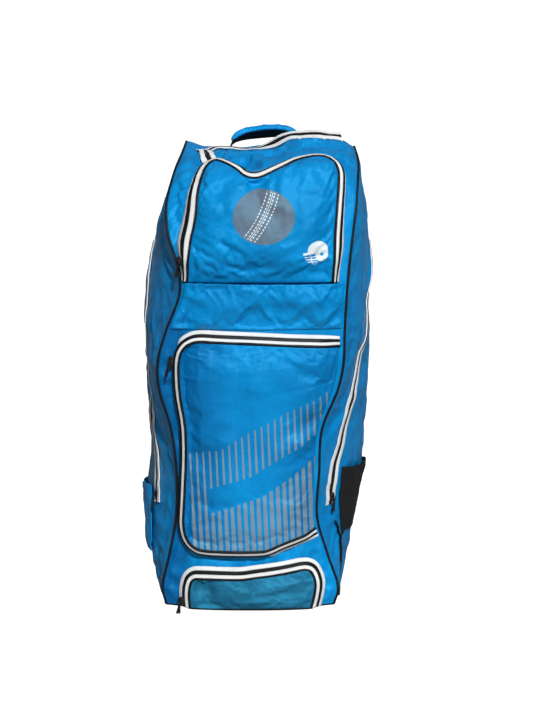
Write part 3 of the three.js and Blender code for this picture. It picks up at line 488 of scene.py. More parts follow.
def crumple(x, y, size, turn, stretch, seed):
    """Ridged waves of about one size in millimetres, drawn out along a direction."""
    angle = math.radians(turn)
    u = (x * math.cos(angle) + y * math.sin(angle)) / (size * stretch)
    t = (y * math.cos(angle) - x * math.sin(angle)) / size
    lattice = Lattice(seed)
    bend = lattice.at(u * 0.7 + 9.1, t * 0.7 + 3.7)
    first = 1 - 2 * np.abs(lattice.at(u + bend * 0.6, t + bend * 0.5))
    second = 1 - 2 * np.abs(lattice.at(u * 1.9 + 17.3, t * 1.9 + 5.9 + bend))
    return 0.7 * first + 0.3 * second - CRUMPLE_MEAN


def crumpled(x, y, rows, seed=0):
    """The sum of several crumples. Each row has its height, size, turn, stretch and seed."""
    height = 0
    for share, size, turn, stretch, own_seed in rows:
        height = height + share * crumple(x, y, size, turn, stretch, seed + own_seed)
    return height


# Meshes
def to_frame(points):
    return (points + SHIFT) / 1000


def make_mesh(name, points, faces, uv=None, share=None):
    """A mesh from rows of points, faces of four corners, and for each corner its place in metres
    along the cloth and its share across and along the panel."""
    mesh = bpy.data.meshes.new(name)
    faces = np.asarray(faces)
    count = len(faces)
    sides = faces.shape[1]
    mesh.vertices.add(len(points))
    mesh.vertices.foreach_set("co", to_frame(points).astype(np.float32).ravel())
    mesh.loops.add(count * sides)
    mesh.loops.foreach_set("vertex_index", faces.ravel())
    mesh.polygons.add(count)
    mesh.polygons.foreach_set("loop_start", np.arange(count) * sides)
    mesh.polygons.foreach_set("loop_total", np.full(count, sides))
    mesh.polygons.foreach_set("use_smooth", np.ones(count, bool))
    for layer, values in (("UVMap", uv), ("Share", share)):
        if values is not None:
            data = mesh.uv_layers.new(name=layer).data
            data.foreach_set("uv", np.asarray(values, np.float32)[faces.ravel()].ravel())
    mesh.update(calc_edges=True)
    mesh.validate()
    return mesh


def outward(points, faces):
    """The faces, turned so that a closed body's volume is positive."""
    corners = points[faces]
    first = np.cross(corners[:, 1] - corners[:, 0], corners[:, 2] - corners[:, 0])
    second = np.cross(corners[:, 2] - corners[:, 0], corners[:, 3] - corners[:, 0])
    volume = np.sum(corners[:, 0] * (first + second))
    return faces[:, ::-1] if volume < 0 else faces


def make_piece(name, mesh, material, nodes, sharp=55):
    piece = bpy.data.objects.new(name, mesh)
    bpy.context.scene.collection.objects.link(piece)
    mesh.materials.append(material)
    mesh.set_sharp_from_angle(angle=math.radians(sharp))
    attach(piece, "root")
    if nodes:
        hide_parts(*nodes)
    return piece


def skin_normals(skin):
    across = np.gradient(skin, axis=0)
    along = np.gradient(skin, axis=1)
    return unit(np.cross(across, along))


def lengths(skin):
    """How far each point of a skin lies along its columns and rows, in metres."""
    def run(axis):
        steps = np.linalg.norm(np.diff(skin, axis=axis), axis=-1)
        total = np.cumsum(steps, axis=axis)
        pad = [(1, 0), (0, 0)] if axis == 0 else [(0, 0), (1, 0)]
        return np.pad(total, pad) / 1000
    return run(0), run(1)


TURNED_IN = 0.25             # how far a cloth's turned edge bends in, of its thickness


def slab(outer, thickness, shares):
    """Points, faces and both sets of places of a cloth layer under its outer skin. The skin's
    outermost row bends in a little, as a turned edge does."""
    n, m = outer.shape[:2]
    normals = skin_normals(outer)
    inner = outer - normals * thickness
    outer = outer.copy()
    for edge in (np.s_[0, :], np.s_[-1, :], np.s_[:, 0], np.s_[:, -1]):
        outer[edge] -= normals[edge] * thickness * TURNED_IN
    inner = off_floor(inner)
    outer = off_floor(outer)
    along_u, along_v = lengths(outer)
    uv = np.stack([along_u, along_v], -1).reshape(-1, 2)
    share = np.stack(shares, -1).reshape(-1, 2)
    i, j = np.meshgrid(np.arange(n - 1), np.arange(m - 1), indexing="ij")
    i = i.ravel()
    j = j.ravel()
    count = n * m

    def at(a, b, skin):
        return skin * count + a * m + b

    faces = [np.stack([at(i, j, 0), at(i + 1, j, 0), at(i + 1, j + 1, 0), at(i, j + 1, 0)], 1),
             np.stack([at(i, j, 1), at(i, j + 1, 1), at(i + 1, j + 1, 1), at(i + 1, j, 1)], 1)]
    k = np.arange(n - 1)
    faces.append(np.stack([at(k, 0, 0), at(k, 0, 1), at(k + 1, 0, 1), at(k + 1, 0, 0)], 1))
    faces.append(np.stack([at(k, m - 1, 0), at(k + 1, m - 1, 0), at(k + 1, m - 1, 1),
                           at(k, m - 1, 1)], 1))
    k = np.arange(m - 1)
    faces.append(np.stack([at(0, k, 0), at(0, k + 1, 0), at(0, k + 1, 1), at(0, k, 1)], 1))
    faces.append(np.stack([at(n - 1, k, 0), at(n - 1, k, 1), at(n - 1, k + 1, 1),
                           at(n - 1, k + 1, 0)], 1))
    points = np.concatenate([outer.reshape(-1, 3), inner.reshape(-1, 3)])
    faces = outward(points, np.concatenate(faces))
    return points, faces, np.tile(uv, (2, 1)), np.tile(share, (2, 1))


def sweep(sections):
    """A closed body along rows of section points, each in a ring."""
    count, sides = sections.shape[:2]
    points = sections.reshape(-1, 3)
    i, k = np.meshgrid(np.arange(count - 1), np.arange(sides), indexing="ij")
    a = (i * sides + k).ravel()
    b = (i * sides + (k + 1) % sides).ravel()
    faces = [np.stack([a, b, b + sides, a + sides], 1)]
    half = sides // 2
    last = (count - 1) * sides
    for start, flip in ((0, True), (last, False)):
        ring = start + np.arange(sides)
        cap = np.stack([ring[:half - 1], ring[1:half], ring[::-1][:half][1:][:half - 1],
                        ring[::-1][:half - 1]], 1)
        faces.append(cap[:, ::-1] if flip else cap)
    faces = outward(points, np.concatenate(faces))
    middle = sections.mean(1)
    run = np.concatenate([[0], np.cumsum(np.linalg.norm(np.diff(middle, axis=0), axis=1))]) / 1000
    u = np.repeat(run, sides)
    v = np.tile(np.arange(sides) / sides, count)
    uv = np.stack([u, v], 1)
    return points, faces, uv, uv


def tube_sections(points, ups, radius, sides=12):
    along = heading(points)
    across = unit(np.cross(along, ups))
    up = np.cross(across, along)
    angles = 2 * np.pi * (np.arange(sides) + 0.5) / sides
    radius = np.broadcast_to(radius, (len(points),))[:, None, None]
    ring = (points[:, None] + radius * (across[:, None] * np.cos(angles)[None, :, None]
                                        + up[:, None] * np.sin(angles)[None, :, None]))
    return off_floor(ring)


def closed_ends(sections):
    """Rounds both ends of a swept body off with smaller sections."""
    def cap(ring, direction, size):
        centre = ring.mean(0)
        rings = []
        for share in (0.5, 0.85):
            drop = math.sqrt(1 - share * share)
            rings.append(centre + (ring - centre) * drop + direction * size * share)
        return rings
    first = unit(sections[0].mean(0) - sections[1].mean(0))
    last = unit(sections[-1].mean(0) - sections[-2].mean(0))
    size_first = np.linalg.norm(sections[0] - sections[0].mean(0), axis=1).min()
    size_last = np.linalg.norm(sections[-1] - sections[-1].mean(0), axis=1).min()
    start = cap(sections[0], first, size_first)[::-1]
    end = cap(sections[-1], last, size_last)
    return np.concatenate([np.stack(start), sections, np.stack(end)])


# Section of a tape or zip between its near edge and its far edge: shares across and heights in
# shares of its thickness
TAPE_SECTION = [[0.00, 0.25], [0.02, 0.00], [0.98, 0.00], [1.00, 0.25], [1.00, 0.75], [0.97, 0.97],
                [0.90, 1.00], [0.50, 0.92], [0.10, 1.00], [0.03, 0.97], [0.00, 0.75],
                [0.00, 0.50]]
ROW_SPACING = 3.0            # distance of the rows along a tape or cord
WAVE_LENGTH = 17.0           # length of the waves in a loose tape's edge
TOOTH_PITCH = 2.4
TOOTH_ROWS = 4               # rows of points for each tooth
TOOTH_LOW = 0.62             # height of the chain between two teeth of one side, of its own
TOOTH_FROM = 0.20            # share of the chain's width where its teeth begin
TAPE_SHARE = 0.45            # thickness of the black tape beside the teeth, of the chain's


def strip_sections(near, far, ups, thickness, section):
    side = far - near
    up = unit(np.cross(side, heading(near)))
    flip = np.where(np.sum(up * ups, -1) < 0, -1.0, 1.0)
    up = up * flip[:, None]
    across = np.array([point[0] for point in section])
    high = np.array([point[1] for point in section])
    points = (near[:, None] + side[:, None] * across[None, :, None]
              + up[:, None] * high[None, :, None] * thickness)
    return off_floor(points)


def resample(points, spacing):
    steps = np.linalg.norm(np.diff(points, axis=0), axis=1)
    run = np.concatenate([[0], np.cumsum(steps)])
    count = max(int(run[-1] / spacing), 4)
    places = np.linspace(0, run[-1], count + 1)
    return places, run


def along_line(values, places, run):
    return np.stack([np.interp(places, run, values[:, k]) for k in range(values.shape[1])], 1)


def tape_piece(name, near, far, ups, material, node, wave=0.0, seed=1):
    middle = (near + far) / 2
    places, run = resample(middle, ROW_SPACING)
    near = along_line(near, places, run)
    far = along_line(far, places, run)
    ups = along_line(ups, places, run)
    if wave:
        lift = wave * Lattice(seed).at(places / WAVE_LENGTH, np.zeros_like(places) + 0.5)
        near = near + ups * np.abs(lift)[:, None]
    sections = strip_sections(near, far, ups, TAPE, TAPE_SECTION)
    points, faces, uv, _ = sweep(sections)
    ring = np.tile([point[0] for point in TAPE_SECTION], len(sections))
    uv = np.stack([uv[:, 0], ring], 1)
    make_piece(name, make_mesh(name, points, faces, uv, uv), material, [node], 60)


chain_lines = {}


def chain_piece(name, near, far, ups, material, node):
    """A closed coil zip: flat tape at both edges and interlocked teeth in the middle."""
    middle = (near + far) / 2
    places, run = resample(middle, TOOTH_PITCH / TOOTH_ROWS)
    near = along_line(near, places, run)
    far = along_line(far, places, run)
    ups = along_line(ups, places, run)
    chain_lines[node] = ((near + far) / 2, ups)
    phase = np.arange(len(places)) % TOOTH_ROWS
    tooth = np.array([1.0, 1.0, TOOTH_LOW, TOOTH_LOW])[phase]
    other = np.array([TOOTH_LOW, TOOTH_LOW, 1.0, 1.0])[phase]
    flat = np.full(len(places), TAPE_SHARE)
    rows = [(0.0, flat * 0), (1.0, flat * 0), (1.0, flat * 0.9), (1 - TOOTH_FROM, flat),
            (0.99 - TOOTH_FROM, tooth * 0.8), (0.62, tooth), (0.40, other),
            (TOOTH_FROM + 0.01, other * 0.8), (TOOTH_FROM, flat), (0.0, flat * 0.9)]
    side = far - near
    up = unit(np.cross(side, heading(near)))
    up = up * np.where(np.sum(up * ups, -1) < 0, -1.0, 1.0)[:, None]
    rings = [near + side * across + up * (high * CHAIN)[:, None] for across, high in rows]
    sections = off_floor(np.stack(rings, 1))
    points, faces, uv, _ = sweep(sections)
    ring = np.tile([row[0] for row in rows], len(sections))
    uv = np.stack([uv[:, 0], ring], 1)
    mesh = make_mesh(name, points, faces, uv, uv)
    make_piece(name, mesh, material, [node], 40)


# Cloth that is a little too large for where it is held buckles into real folds
SETTLE_CELL = 5.0
SETTLE_STEPS = 16
SETTLE_BENDING = 0.4
SETTLE_GRAVITY = 0.3
# Growth of the cloth, pressure behind it and the most that a point moves, in millimetres
FRONT_SETTLE = (0.04, 0.3, 4.0)
SIDE_SETTLE = (0.03, 0.0, 3.0)
BAND_SETTLE = (0.02, 1.0, 4.0)
UPPER_SETTLE = (0.03, 1.0, 6.0)
MIDDLE_SETTLE = (0.02, 0.8, 4.0)
LOWER_SETTLE = (0.03, 1.0, 3.0)


def refined(field, columns, rows):
    """A grid of values with more points, on smooth curves through the given ones."""
    depth = field.shape[2]
    field = through(field.reshape(field.shape[0], -1), np.linspace(0, 1, columns))
    field = field.reshape(columns, -1, depth).swapaxes(0, 1)
    field = through(field.reshape(field.shape[0], -1), np.linspace(0, 1, rows))
    return field.reshape(rows, columns, depth).swapaxes(0, 1)


def settled(skin, free, growth, pressure, cap):
    """The skin after a short cloth run. Free is 0 where it is held and 1 where it may move, growth
    is how much too large it is cut, and cap is the most that a point moves, in millimetres."""
    n, m = skin.shape[:2]
    wide = np.linalg.norm(np.diff(skin[:, m // 2], axis=0), axis=1).sum()
    tall = np.linalg.norm(np.diff(skin[n // 2], axis=0), axis=1).sum()
    columns = max(int(wide / SETTLE_CELL), 8)
    rows = max(int(tall / SETTLE_CELL), 8)
    coarse = refined(skin, columns, rows)
    loose = np.clip(refined(free[..., None], columns, rows)[..., 0], 0, 1)
    i, j = np.meshgrid(np.arange(columns - 1), np.arange(rows - 1), indexing="ij")
    a = (i * rows + j).ravel()
    faces = np.stack([a, a + rows, a + rows + 1, a + 1], 1)
    mesh = make_mesh("settling", coarse.reshape(-1, 3), faces)
    piece = bpy.data.objects.new("settling", mesh)
    bpy.context.scene.collection.objects.link(piece)
    held = piece.vertex_groups.new(name="held")
    for k, share in enumerate(loose.ravel()):
        if share < 0.999:
            held.add([k], 1 - float(share), "REPLACE")
    cloth_run = piece.modifiers.new("cloth", "CLOTH")
    settings = cloth_run.settings
    settings.quality = 6
    settings.mass = 0.0002
    settings.tension_stiffness = 12
    settings.compression_stiffness = 12
    settings.shear_stiffness = 4
    settings.bending_stiffness = SETTLE_BENDING
    settings.vertex_group_mass = "held"
    settings.shrink_min = -growth
    settings.use_pressure = True
    settings.uniform_pressure_force = pressure
    settings.effector_weights.gravity = SETTLE_GRAVITY
    cloth_run.collision_settings.use_collision = False
    cloth_run.point_cache.frame_start = 1
    cloth_run.point_cache.frame_end = SETTLE_STEPS
    scene = bpy.context.scene
    for step in range(1, SETTLE_STEPS + 1):
        scene.frame_set(step)
    result = piece.evaluated_get(bpy.context.evaluated_depsgraph_get()).to_mesh()
    moved_points = np.empty(len(mesh.vertices) * 3, np.float32)
    result.vertices.foreach_get("co", moved_points)
    moved_points = moved_points.reshape(columns, rows, 3) * 1000 - SHIFT
    scene.frame_set(1)
    bpy.data.objects.remove(piece)
    bpy.data.meshes.remove(mesh)
    move = moved_points - coarse
    size = np.linalg.norm(move, axis=-1, keepdims=True)
    move = move * np.tanh(size / cap) * cap / np.maximum(size, 1e-6)
    return skin + refined(move, n, m) * np.clip(free * 4, 0, 1)[..., None]


def grid_surface(points, w_lines, v_line):
    """The surface through a settled panel, so that what is sewn on it can follow its folds. W_lines
    gives the first and last share across on each row, and v_line the share along of each row."""
    rows = np.arange(len(v_line))

    def shape(w, v):
        w, v = np.broadcast_arrays(np.asarray(w, float), np.asarray(v, float))
        row = np.interp(v, v_line, rows)
        first = np.interp(v, v_line, w_lines[0])
        last = np.interp(v, v_line, w_lines[1])
        column = np.clip((w - first) / (last - first), 0, 1) * (points.shape[0] - 1)
        i = np.minimum(column.astype(int), points.shape[0] - 2)
        j = np.minimum(row.astype(int), points.shape[1] - 2)
        p = (column - i)[..., None]
        q = (row - j)[..., None]
        near = points[i, j] * (1 - p) + points[i + 1, j] * p
        far = points[i, j + 1] * (1 - p) + points[i + 1, j + 1] * p
        return near * (1 - q) + far * q
    return shape


# Materials
class Nodes:
    """Short calls for the nodes of one material."""

    def __init__(self, name):
        self.material = bpy.data.materials.new(name)
        self.material.use_nodes = True
        self.tree = self.material.node_tree
        self.shader = self.tree.nodes["Principled BSDF"]

    def join(self, value, socket):
        if isinstance(value, bpy.types.NodeSocket):
            self.tree.links.new(value, socket)
        else:
            socket.default_value = value

    def math(self, operation, a, b=0.0, c=0.0):
        node = self.tree.nodes.new("ShaderNodeMath")
        node.operation = operation
        for value, socket in zip((a, b, c), node.inputs):
            self.join(value, socket)
        return node.outputs[0]

    def coordinates(self):
        return self.tree.nodes.new("ShaderNodeTexCoord").outputs["Object"]

    def layer(self, name):
        node = self.tree.nodes.new("ShaderNodeUVMap")
        node.uv_map = name
        split = self.tree.nodes.new("ShaderNodeSeparateXYZ")
        self.tree.links.new(node.outputs[0], split.inputs[0])
        return split.outputs[0], split.outputs[1]

    def noise(self, vector, scale, detail=3.0, roughness=0.5, kind="FBM"):
        node = self.tree.nodes.new("ShaderNodeTexNoise")
        node.noise_type = kind
        self.join(vector, node.inputs["Vector"])
        node.inputs["Scale"].default_value = scale
        node.inputs["Detail"].default_value = detail
        node.inputs["Roughness"].default_value = roughness
        return node.outputs["Fac"]

    def spread(self, value, low, high, to_low=0.0, to_high=1.0):
        node = self.tree.nodes.new("ShaderNodeMapRange")
        node.interpolation_type = "SMOOTHSTEP"
        for item, socket in zip((value, low, high, to_low, to_high), node.inputs):
            self.join(item, socket)
        return node.outputs[0]

    def mix(self, share, first, second):
        node = self.tree.nodes.new("ShaderNodeMix")
        node.data_type = "RGBA"
        self.join(share, node.inputs[0])
        self.join(first, node.inputs[6])
        self.join(second, node.inputs[7])
        return node.outputs[2]

    def bump(self, height, distance, strength=1.0, under=None):
        node = self.tree.nodes.new("ShaderNodeBump")
        node.inputs["Strength"].default_value = strength
        node.inputs["Distance"].default_value = distance
        self.join(height, node.inputs["Height"])
        if under is not None:
            self.join(under, node.inputs["Normal"])
        return node.outputs[0]

    def weave(self, u, v, pitch):
        """Height of a plain weave whose yarns lie this far apart, in metres."""
        warp = self.math("SINE", self.math("MULTIPLY", u, 2 * math.pi / pitch))
        weft = self.math("SINE", self.math("MULTIPLY", v, 2 * math.pi / pitch))
        return self.math("MULTIPLY", warp, weft)

    def finish(self, colour, roughness, normal=None):
        self.join(colour, self.shader.inputs["Base Color"])
        self.join(roughness, self.shader.inputs["Roughness"])
        if normal is not None:
            self.join(normal, self.shader.inputs["Normal"])
        return self.material


def rgb(red, green, blue):
    return (red, green, blue, 1.0)


BLUE = rgb(0.000, 0.245, 0.600)
BLUE_DEEP = rgb(0.000, 0.185, 0.480)
# Deep blue used only as painted shade on the front panel and the middle pocket's face
BLUE_PAINTED_SHADE = rgb(0.000, 0.085, 0.280)
DULL = rgb(0.018, 0.190, 0.345)
DULL_DEEP = rgb(0.008, 0.105, 0.200)
BLACK = rgb(0.004, 0.005, 0.007)
BLACK_WORN = rgb(0.016, 0.017, 0.020)
GLOSS_TINT = rgb(0.15, 0.70, 1.00)
WHITE = rgb(0.76, 0.77, 0.76)
WHITE_SOILED = rgb(0.60, 0.61, 0.60)
PRINT_GREY = rgb(0.20, 0.26, 0.31)
ROUNDEL_GREY = rgb(0.13, 0.15, 0.18)
PRINT_WHITE = rgb(0.80, 0.84, 0.85)
CLOTH_PITCH = 0.0011
WEBBING_PITCH = 0.0022


def cloth_nodes(name, colour, deep, roughness=0.34):
    """Coated nylon: plain weave, slight colour drift, small crumples and a soft sheen."""
    nodes = Nodes(name)
    place = nodes.coordinates()
    u, v = nodes.layer("UVMap")
    drift = nodes.spread(nodes.noise(place, 9.0, 4.0, 0.6), 0.3, 0.7)
    tone = nodes.mix(drift, deep, colour)
    crumb = nodes.noise(place, 60.0, 5.0, 0.62)
    large = nodes.noise(place, 21.0, 3.0, 0.5, "RIDGED_MULTIFRACTAL")
    weave = nodes.weave(u, v, CLOTH_PITCH)
    normal = nodes.bump(large, 0.009, 0.6)
    normal = nodes.bump(crumb, 0.0022, 0.7, normal)
    normal = nodes.bump(weave, 0.00012, 0.6, normal)
    nodes.shader.inputs["Specular IOR Level"].default_value = 0.75
    nodes.shader.inputs["Specular Tint"].default_value = GLOSS_TINT
    rough = nodes.spread(crumb, 0.2, 0.8, roughness - 0.06, roughness + 0.12)
    return nodes, tone, rough, normal


def cloth(name, colour, deep, roughness=0.34):
    nodes, tone, rough, normal = cloth_nodes(name, colour, deep, roughness)
    return nodes.finish(tone, rough, normal)


# Upright stripes printed on the middle pocket: places across in millimetres, edges of the printed
# fields in shares along the front
STRIPES = 22
STRIPE_FIRST = -117.5
STRIPE_PITCH = 11.1
STRIPE_LEAN = 0.044
LEAN_LEVEL = 330.0
STRIPE_TOPS = [[0.2992, 0.0376], [0.2650, 0.1443]]
GAP_TOPS = [[0.2351, 0.0696], [0.2022, 0.1340]]
GAP_FEET = [[0.1935, 0.0750], [0.1485, 0.1500]]
BARE_FROM = 3                # stripes at the left that run on through the bare diagonal


def front_cloth_painted_shade():
    nodes, tone, rough, normal = cloth_nodes("front_nylon_painted_shade", BLUE, BLUE_DEEP)
    w, v = nodes.layer("Share")
    # Painted shade: the front's strip left of the middle pocket, up to about the band, is darkened
    # towards a deep blue in place of the pocket's shadow
    beside = nodes.spread(w, 0.10, 0.16, 0.85, 0.0)
    below = nodes.spread(v, 0.54, 0.66, 1.0, 0.0)
    tone = nodes.mix(nodes.math("MULTIPLY", beside, below), tone, BLUE_PAINTED_SHADE)
    return nodes.finish(tone, rough, normal)


def striped_cloth_painted_shade():
    nodes, tone, rough, normal = cloth_nodes("striped_nylon_painted_shade", BLUE, BLUE_DEEP)
    w, v = nodes.layer("Share")
    m = nodes.math
    # Painted shade: the middle pocket's face is darkened towards its left arm and, less, towards its
    # right end, where it turns away from the light
    painted_side_shade = m("ADD", nodes.spread(w, 0.10, 0.50, 0.65, 0.0), nodes.spread(w, 0.62, 0.90, 0.0, 0.40))
    tone = nodes.mix(painted_side_shade, tone, BLUE_PAINTED_SHADE)
    split = nodes.tree.nodes.new("ShaderNodeSeparateXYZ")
    nodes.join(nodes.coordinates(), split.inputs[0])
    first = STRIPE_FIRST + STRIPE_LEAN * LEAN_LEVEL + float(SHIFT[0])
    across = m("ADD", m("MULTIPLY", split.outputs[0], 1000.0),
               m("MULTIPLY", split.outputs[2], 1000.0 * STRIPE_LEAN))
    count = m("DIVIDE", m("SUBTRACT", across, first), STRIPE_PITCH)
    away = m("ABSOLUTE", m("SUBTRACT", m("FRACT", count), 0.5))

    def border(lines):
        """The higher of two slanting lines, each with its start at the left and its rise."""
        (low_start, low_rise), (high_start, high_rise) = lines
        return m("MAXIMUM", m("MULTIPLY_ADD", w, low_rise, low_start),
                 m("MULTIPLY_ADD", w, high_rise, high_start))

    depth = m("SUBTRACT", border(STRIPE_TOPS), v)
    half = nodes.spread(depth, 0.0, 0.19, 0.13, 0.32)
    stripe = nodes.spread(m("SUBTRACT", half, away), -0.02, 0.02)
    under = nodes.spread(depth, 0.0, 0.003)
    above_low = nodes.spread(m("SUBTRACT", v, border(GAP_FEET)), 0.0, 0.002)
    below_high = nodes.spread(m("SUBTRACT", border(GAP_TOPS), v), 0.0, 0.002)
    right_of = nodes.spread(count, BARE_FROM, BARE_FROM + 0.02)
    bare = m("MULTIPLY", m("MULTIPLY", above_low, below_high), right_of)
    within = m("MULTIPLY", nodes.spread(count, 0.0, 0.02), nodes.spread(count, STRIPES, STRIPES - 0.02))
    printed_share = m("MULTIPLY", m("MULTIPLY", stripe, under), within)
    stripe = m("MULTIPLY", printed_share, m("SUBTRACT", 1.0, bare))
    tone = nodes.mix(m("MULTIPLY", stripe, 0.88), tone, PRINT_GREY)
    return nodes.finish(tone, rough, normal)


# The grey roundel of the upper pocket and its helmet sign, as seen squarely from the front
ROUNDEL = {"w": 0.519, "v": 0.7736, "radius": 50.0, "flat": 1.15}
SIGN = {"w": 0.800, "v": 0.697, "flat": 1.03}
SEAM_TURN = 24.0             # slant of the ball's seam, in degrees
SEAM_BOW = 0.0022            # how much it bends, per millimetre squared
STITCH_ROW = 6.4
STITCH_ROWS = 2
STITCH_PITCH = 6.2


def roundel_cloth():
    """A plain roundel with the stitched seam band of a cricket ball, and a helmet with its grille."""
    nodes, tone, rough, normal = cloth_nodes("roundel_nylon", BLUE, BLUE_DEEP)
    split = nodes.tree.nodes.new("ShaderNodeSeparateXYZ")
    nodes.join(nodes.coordinates(), split.inputs[0])
    m = nodes.math

    def place(mark):
        """Millimetres from the middle of a mark, to the right and up."""
        middle = to_frame(front(np.array([mark["w"]]), np.array([mark["v"]]))[0])
        x = m("MULTIPLY", m("SUBTRACT", split.outputs[0], float(middle[0])), 1000.0)
        y = m("MULTIPLY", m("SUBTRACT", split.outputs[2], float(middle[2])), 1000.0 * mark["flat"])
        return x, y

    def radius(x, y, stretch=1.0):
        y = m("MULTIPLY", y, stretch)
        return m("SQRT", m("ADD", m("MULTIPLY", x, x), m("MULTIPLY", y, y)))

    def less(value, limit, soft=0.4):
        return nodes.spread(value, limit + soft, limit - soft)

    def between(value, low, high):
        return m("MULTIPLY", less(value, high), less(m("MULTIPLY", value, -1.0), -low))

    def both(a, b):
        return m("MULTIPLY", a, b)

    def either(a, b):
        return m("MAXIMUM", a, b)

    x, y = place(ROUNDEL)
    size = ROUNDEL["radius"]
    disc = less(radius(x, y), size)
    turn = math.radians(SEAM_TURN)
    across = m("SUBTRACT", m("MULTIPLY", x, math.cos(turn)), m("MULTIPLY", y, math.sin(turn)))
    along = m("ADD", m("MULTIPLY", x, math.sin(turn)), m("MULTIPLY", y, math.cos(turn)))
    across = m("ABSOLUTE", m("ADD", across, m("MULTIPLY", m("MULTIPLY", along, along), SEAM_BOW)))
    row = m("ABSOLUTE", m("SUBTRACT", m("FRACT", m("DIVIDE", across, STITCH_ROW)), 0.5))
    dash = m("ABSOLUTE", m("SUBTRACT", m("FRACT", m("DIVIDE", along, STITCH_PITCH)), 0.5))
    stitches = both(both(less(row, 0.14, 0.04), less(dash, 0.30, 0.06)),
                    less(across, STITCH_ROW * STITCH_ROWS))
    seam = both(either(stitches, less(across, 0.5, 0.3)), less(radius(x, y), size - 2.5))
    tone = nodes.mix(m("MULTIPLY", disc, 0.92), tone, ROUNDEL_GREY)
    tone = nodes.mix(m("MULTIPLY", seam, 0.9), tone, PRINT_WHITE)
    # helmet seen from its left: shell, ear piece, peak and a grille of bars
    x, y = place(SIGN)
    shell = both(less(radius(m("SUBTRACT", x, 3.0), m("SUBTRACT", y, 4.0)), 16.5),
                 less(m("MULTIPLY", y, -1.0), 1.0))
    ear = both(less(radius(m("SUBTRACT", x, 9.0), m("ADD", y, 1.0), 0.8), 10.5),
               less(y, 3.0))
    peak = both(between(x, -21.0, -6.0), between(m("ADD", y, m("MULTIPLY", x, -0.12)), -0.4, 3.4))
    guard = both(less(radius(m("ADD", x, 1.0), y), 19.0),
                 both(between(x, -19.0, 3.0), between(y, -20.0, -3.0)))
    step = m("FRACT", m("DIVIDE", m("ADD", y, 21.0), 4.2))
    bar = less(m("ABSOLUTE", m("SUBTRACT", step, 0.5)), 0.20, 0.05)
    upright = less(m("ABSOLUTE", m("ADD", m("ADD", x, 10.0), m("MULTIPLY", y, 0.25))), 0.9)
    sign = either(either(shell, ear), either(peak, both(guard, either(bar, upright))))
    hole = less(radius(m("SUBTRACT", x, 9.5), m("ADD", y, 2.5)), 3.0)
    sign = both(sign, m("SUBTRACT", 1.0, hole))
    tone = nodes.mix(m("MULTIPLY", sign, 0.92), tone, PRINT_WHITE)
    return nodes.finish(tone, rough, normal)


def webbing(name):
    nodes = Nodes(name)
    u, v = nodes.layer("UVMap")
    rib = nodes.weave(u, nodes.math("MULTIPLY", v, 0.03), WEBBING_PITCH)
    normal = nodes.bump(rib, 0.0004, 0.8)
    tone = nodes.mix(nodes.spread(rib, -0.6, 1.0), BLACK, BLACK_WORN)
    nodes.shader.inputs["Specular IOR Level"].default_value = 0.15
    return nodes.finish(tone, 0.78, normal)


def tape_material():
    """White woven tape with a row of stitches near both edges."""
    nodes = Nodes("white_binding")
    place = nodes.coordinates()
    u, v = nodes.layer("UVMap")
    m = nodes.math
    rib = m("SINE", m("MULTIPLY", u, 2 * math.pi / 0.0014))
    dash = nodes.spread(m("ABSOLUTE", m("SUBTRACT", m("FRACT", m("DIVIDE", u, 0.0042)), 0.5)), 0.30, 0.36)
    edge = m("ABSOLUTE", m("SUBTRACT", m("ABSOLUTE", m("SUBTRACT", v, 0.5)), 0.32))
    line = m("SUBTRACT", 1.0, nodes.spread(edge, 0.03, 0.07))
    stitch = m("MULTIPLY", line, m("SUBTRACT", 1.0, dash))
    dirt = nodes.spread(nodes.noise(place, 34.0, 4.0, 0.6), 0.50, 0.75)
    tone = nodes.mix(m("MULTIPLY", dirt, 0.7), WHITE, WHITE_SOILED)
    tone = nodes.mix(m("MULTIPLY", line, 0.25), tone, WHITE_SOILED)
    normal = nodes.bump(rib, 0.00016, 0.7)
    normal = nodes.bump(stitch, 0.0005, 0.9, normal)
    nodes.shader.inputs["Sheen Weight"].default_value = 0.15
    return nodes.finish(tone, 0.72, normal)


def plain_black(name, roughness, scale, gloss=0.15):
    nodes = Nodes(name)
    place = nodes.coordinates()
    grain = nodes.noise(place, scale, 3.0, 0.6)
    tone = nodes.mix(nodes.spread(grain, 0.35, 0.8), BLACK, BLACK_WORN)
    nodes.shader.inputs["Specular IOR Level"].default_value = gloss
    return nodes.finish(tone, roughness, nodes.bump(grain, 0.0003, 0.5))


def plain_brass():
    nodes = Nodes("worn_brass")
    grain = nodes.noise(nodes.coordinates(), 500.0, 3.0, 0.6)
    tone = nodes.mix(nodes.spread(grain, 0.4, 0.8), rgb(0.42, 0.26, 0.12), rgb(0.20, 0.13, 0.07))
    nodes.shader.inputs["Metallic"].default_value = 1.0
    return nodes.finish(tone, 0.4)


def net_material():
    """Black net cloth over its dark lining."""
    nodes = Nodes("black_net")
    u, v = nodes.layer("UVMap")
    m = nodes.math
    a = m("SINE", m("MULTIPLY", m("ADD", u, v), 2 * math.pi / 0.0042))
    b = m("SINE", m("MULTIPLY", m("SUBTRACT", u, v), 2 * math.pi / 0.0042))
    hole = nodes.spread(m("MULTIPLY", a, b), 0.1, 0.5)
    tone = nodes.mix(hole, BLACK_WORN, rgb(0.002, 0.002, 0.003))
    normal = nodes.bump(m("SUBTRACT", 1.0, hole), 0.0006, 1.0)
    nodes.shader.inputs["Specular IOR Level"].default_value = 0.2
    return nodes.finish(tone, 0.6, normal)


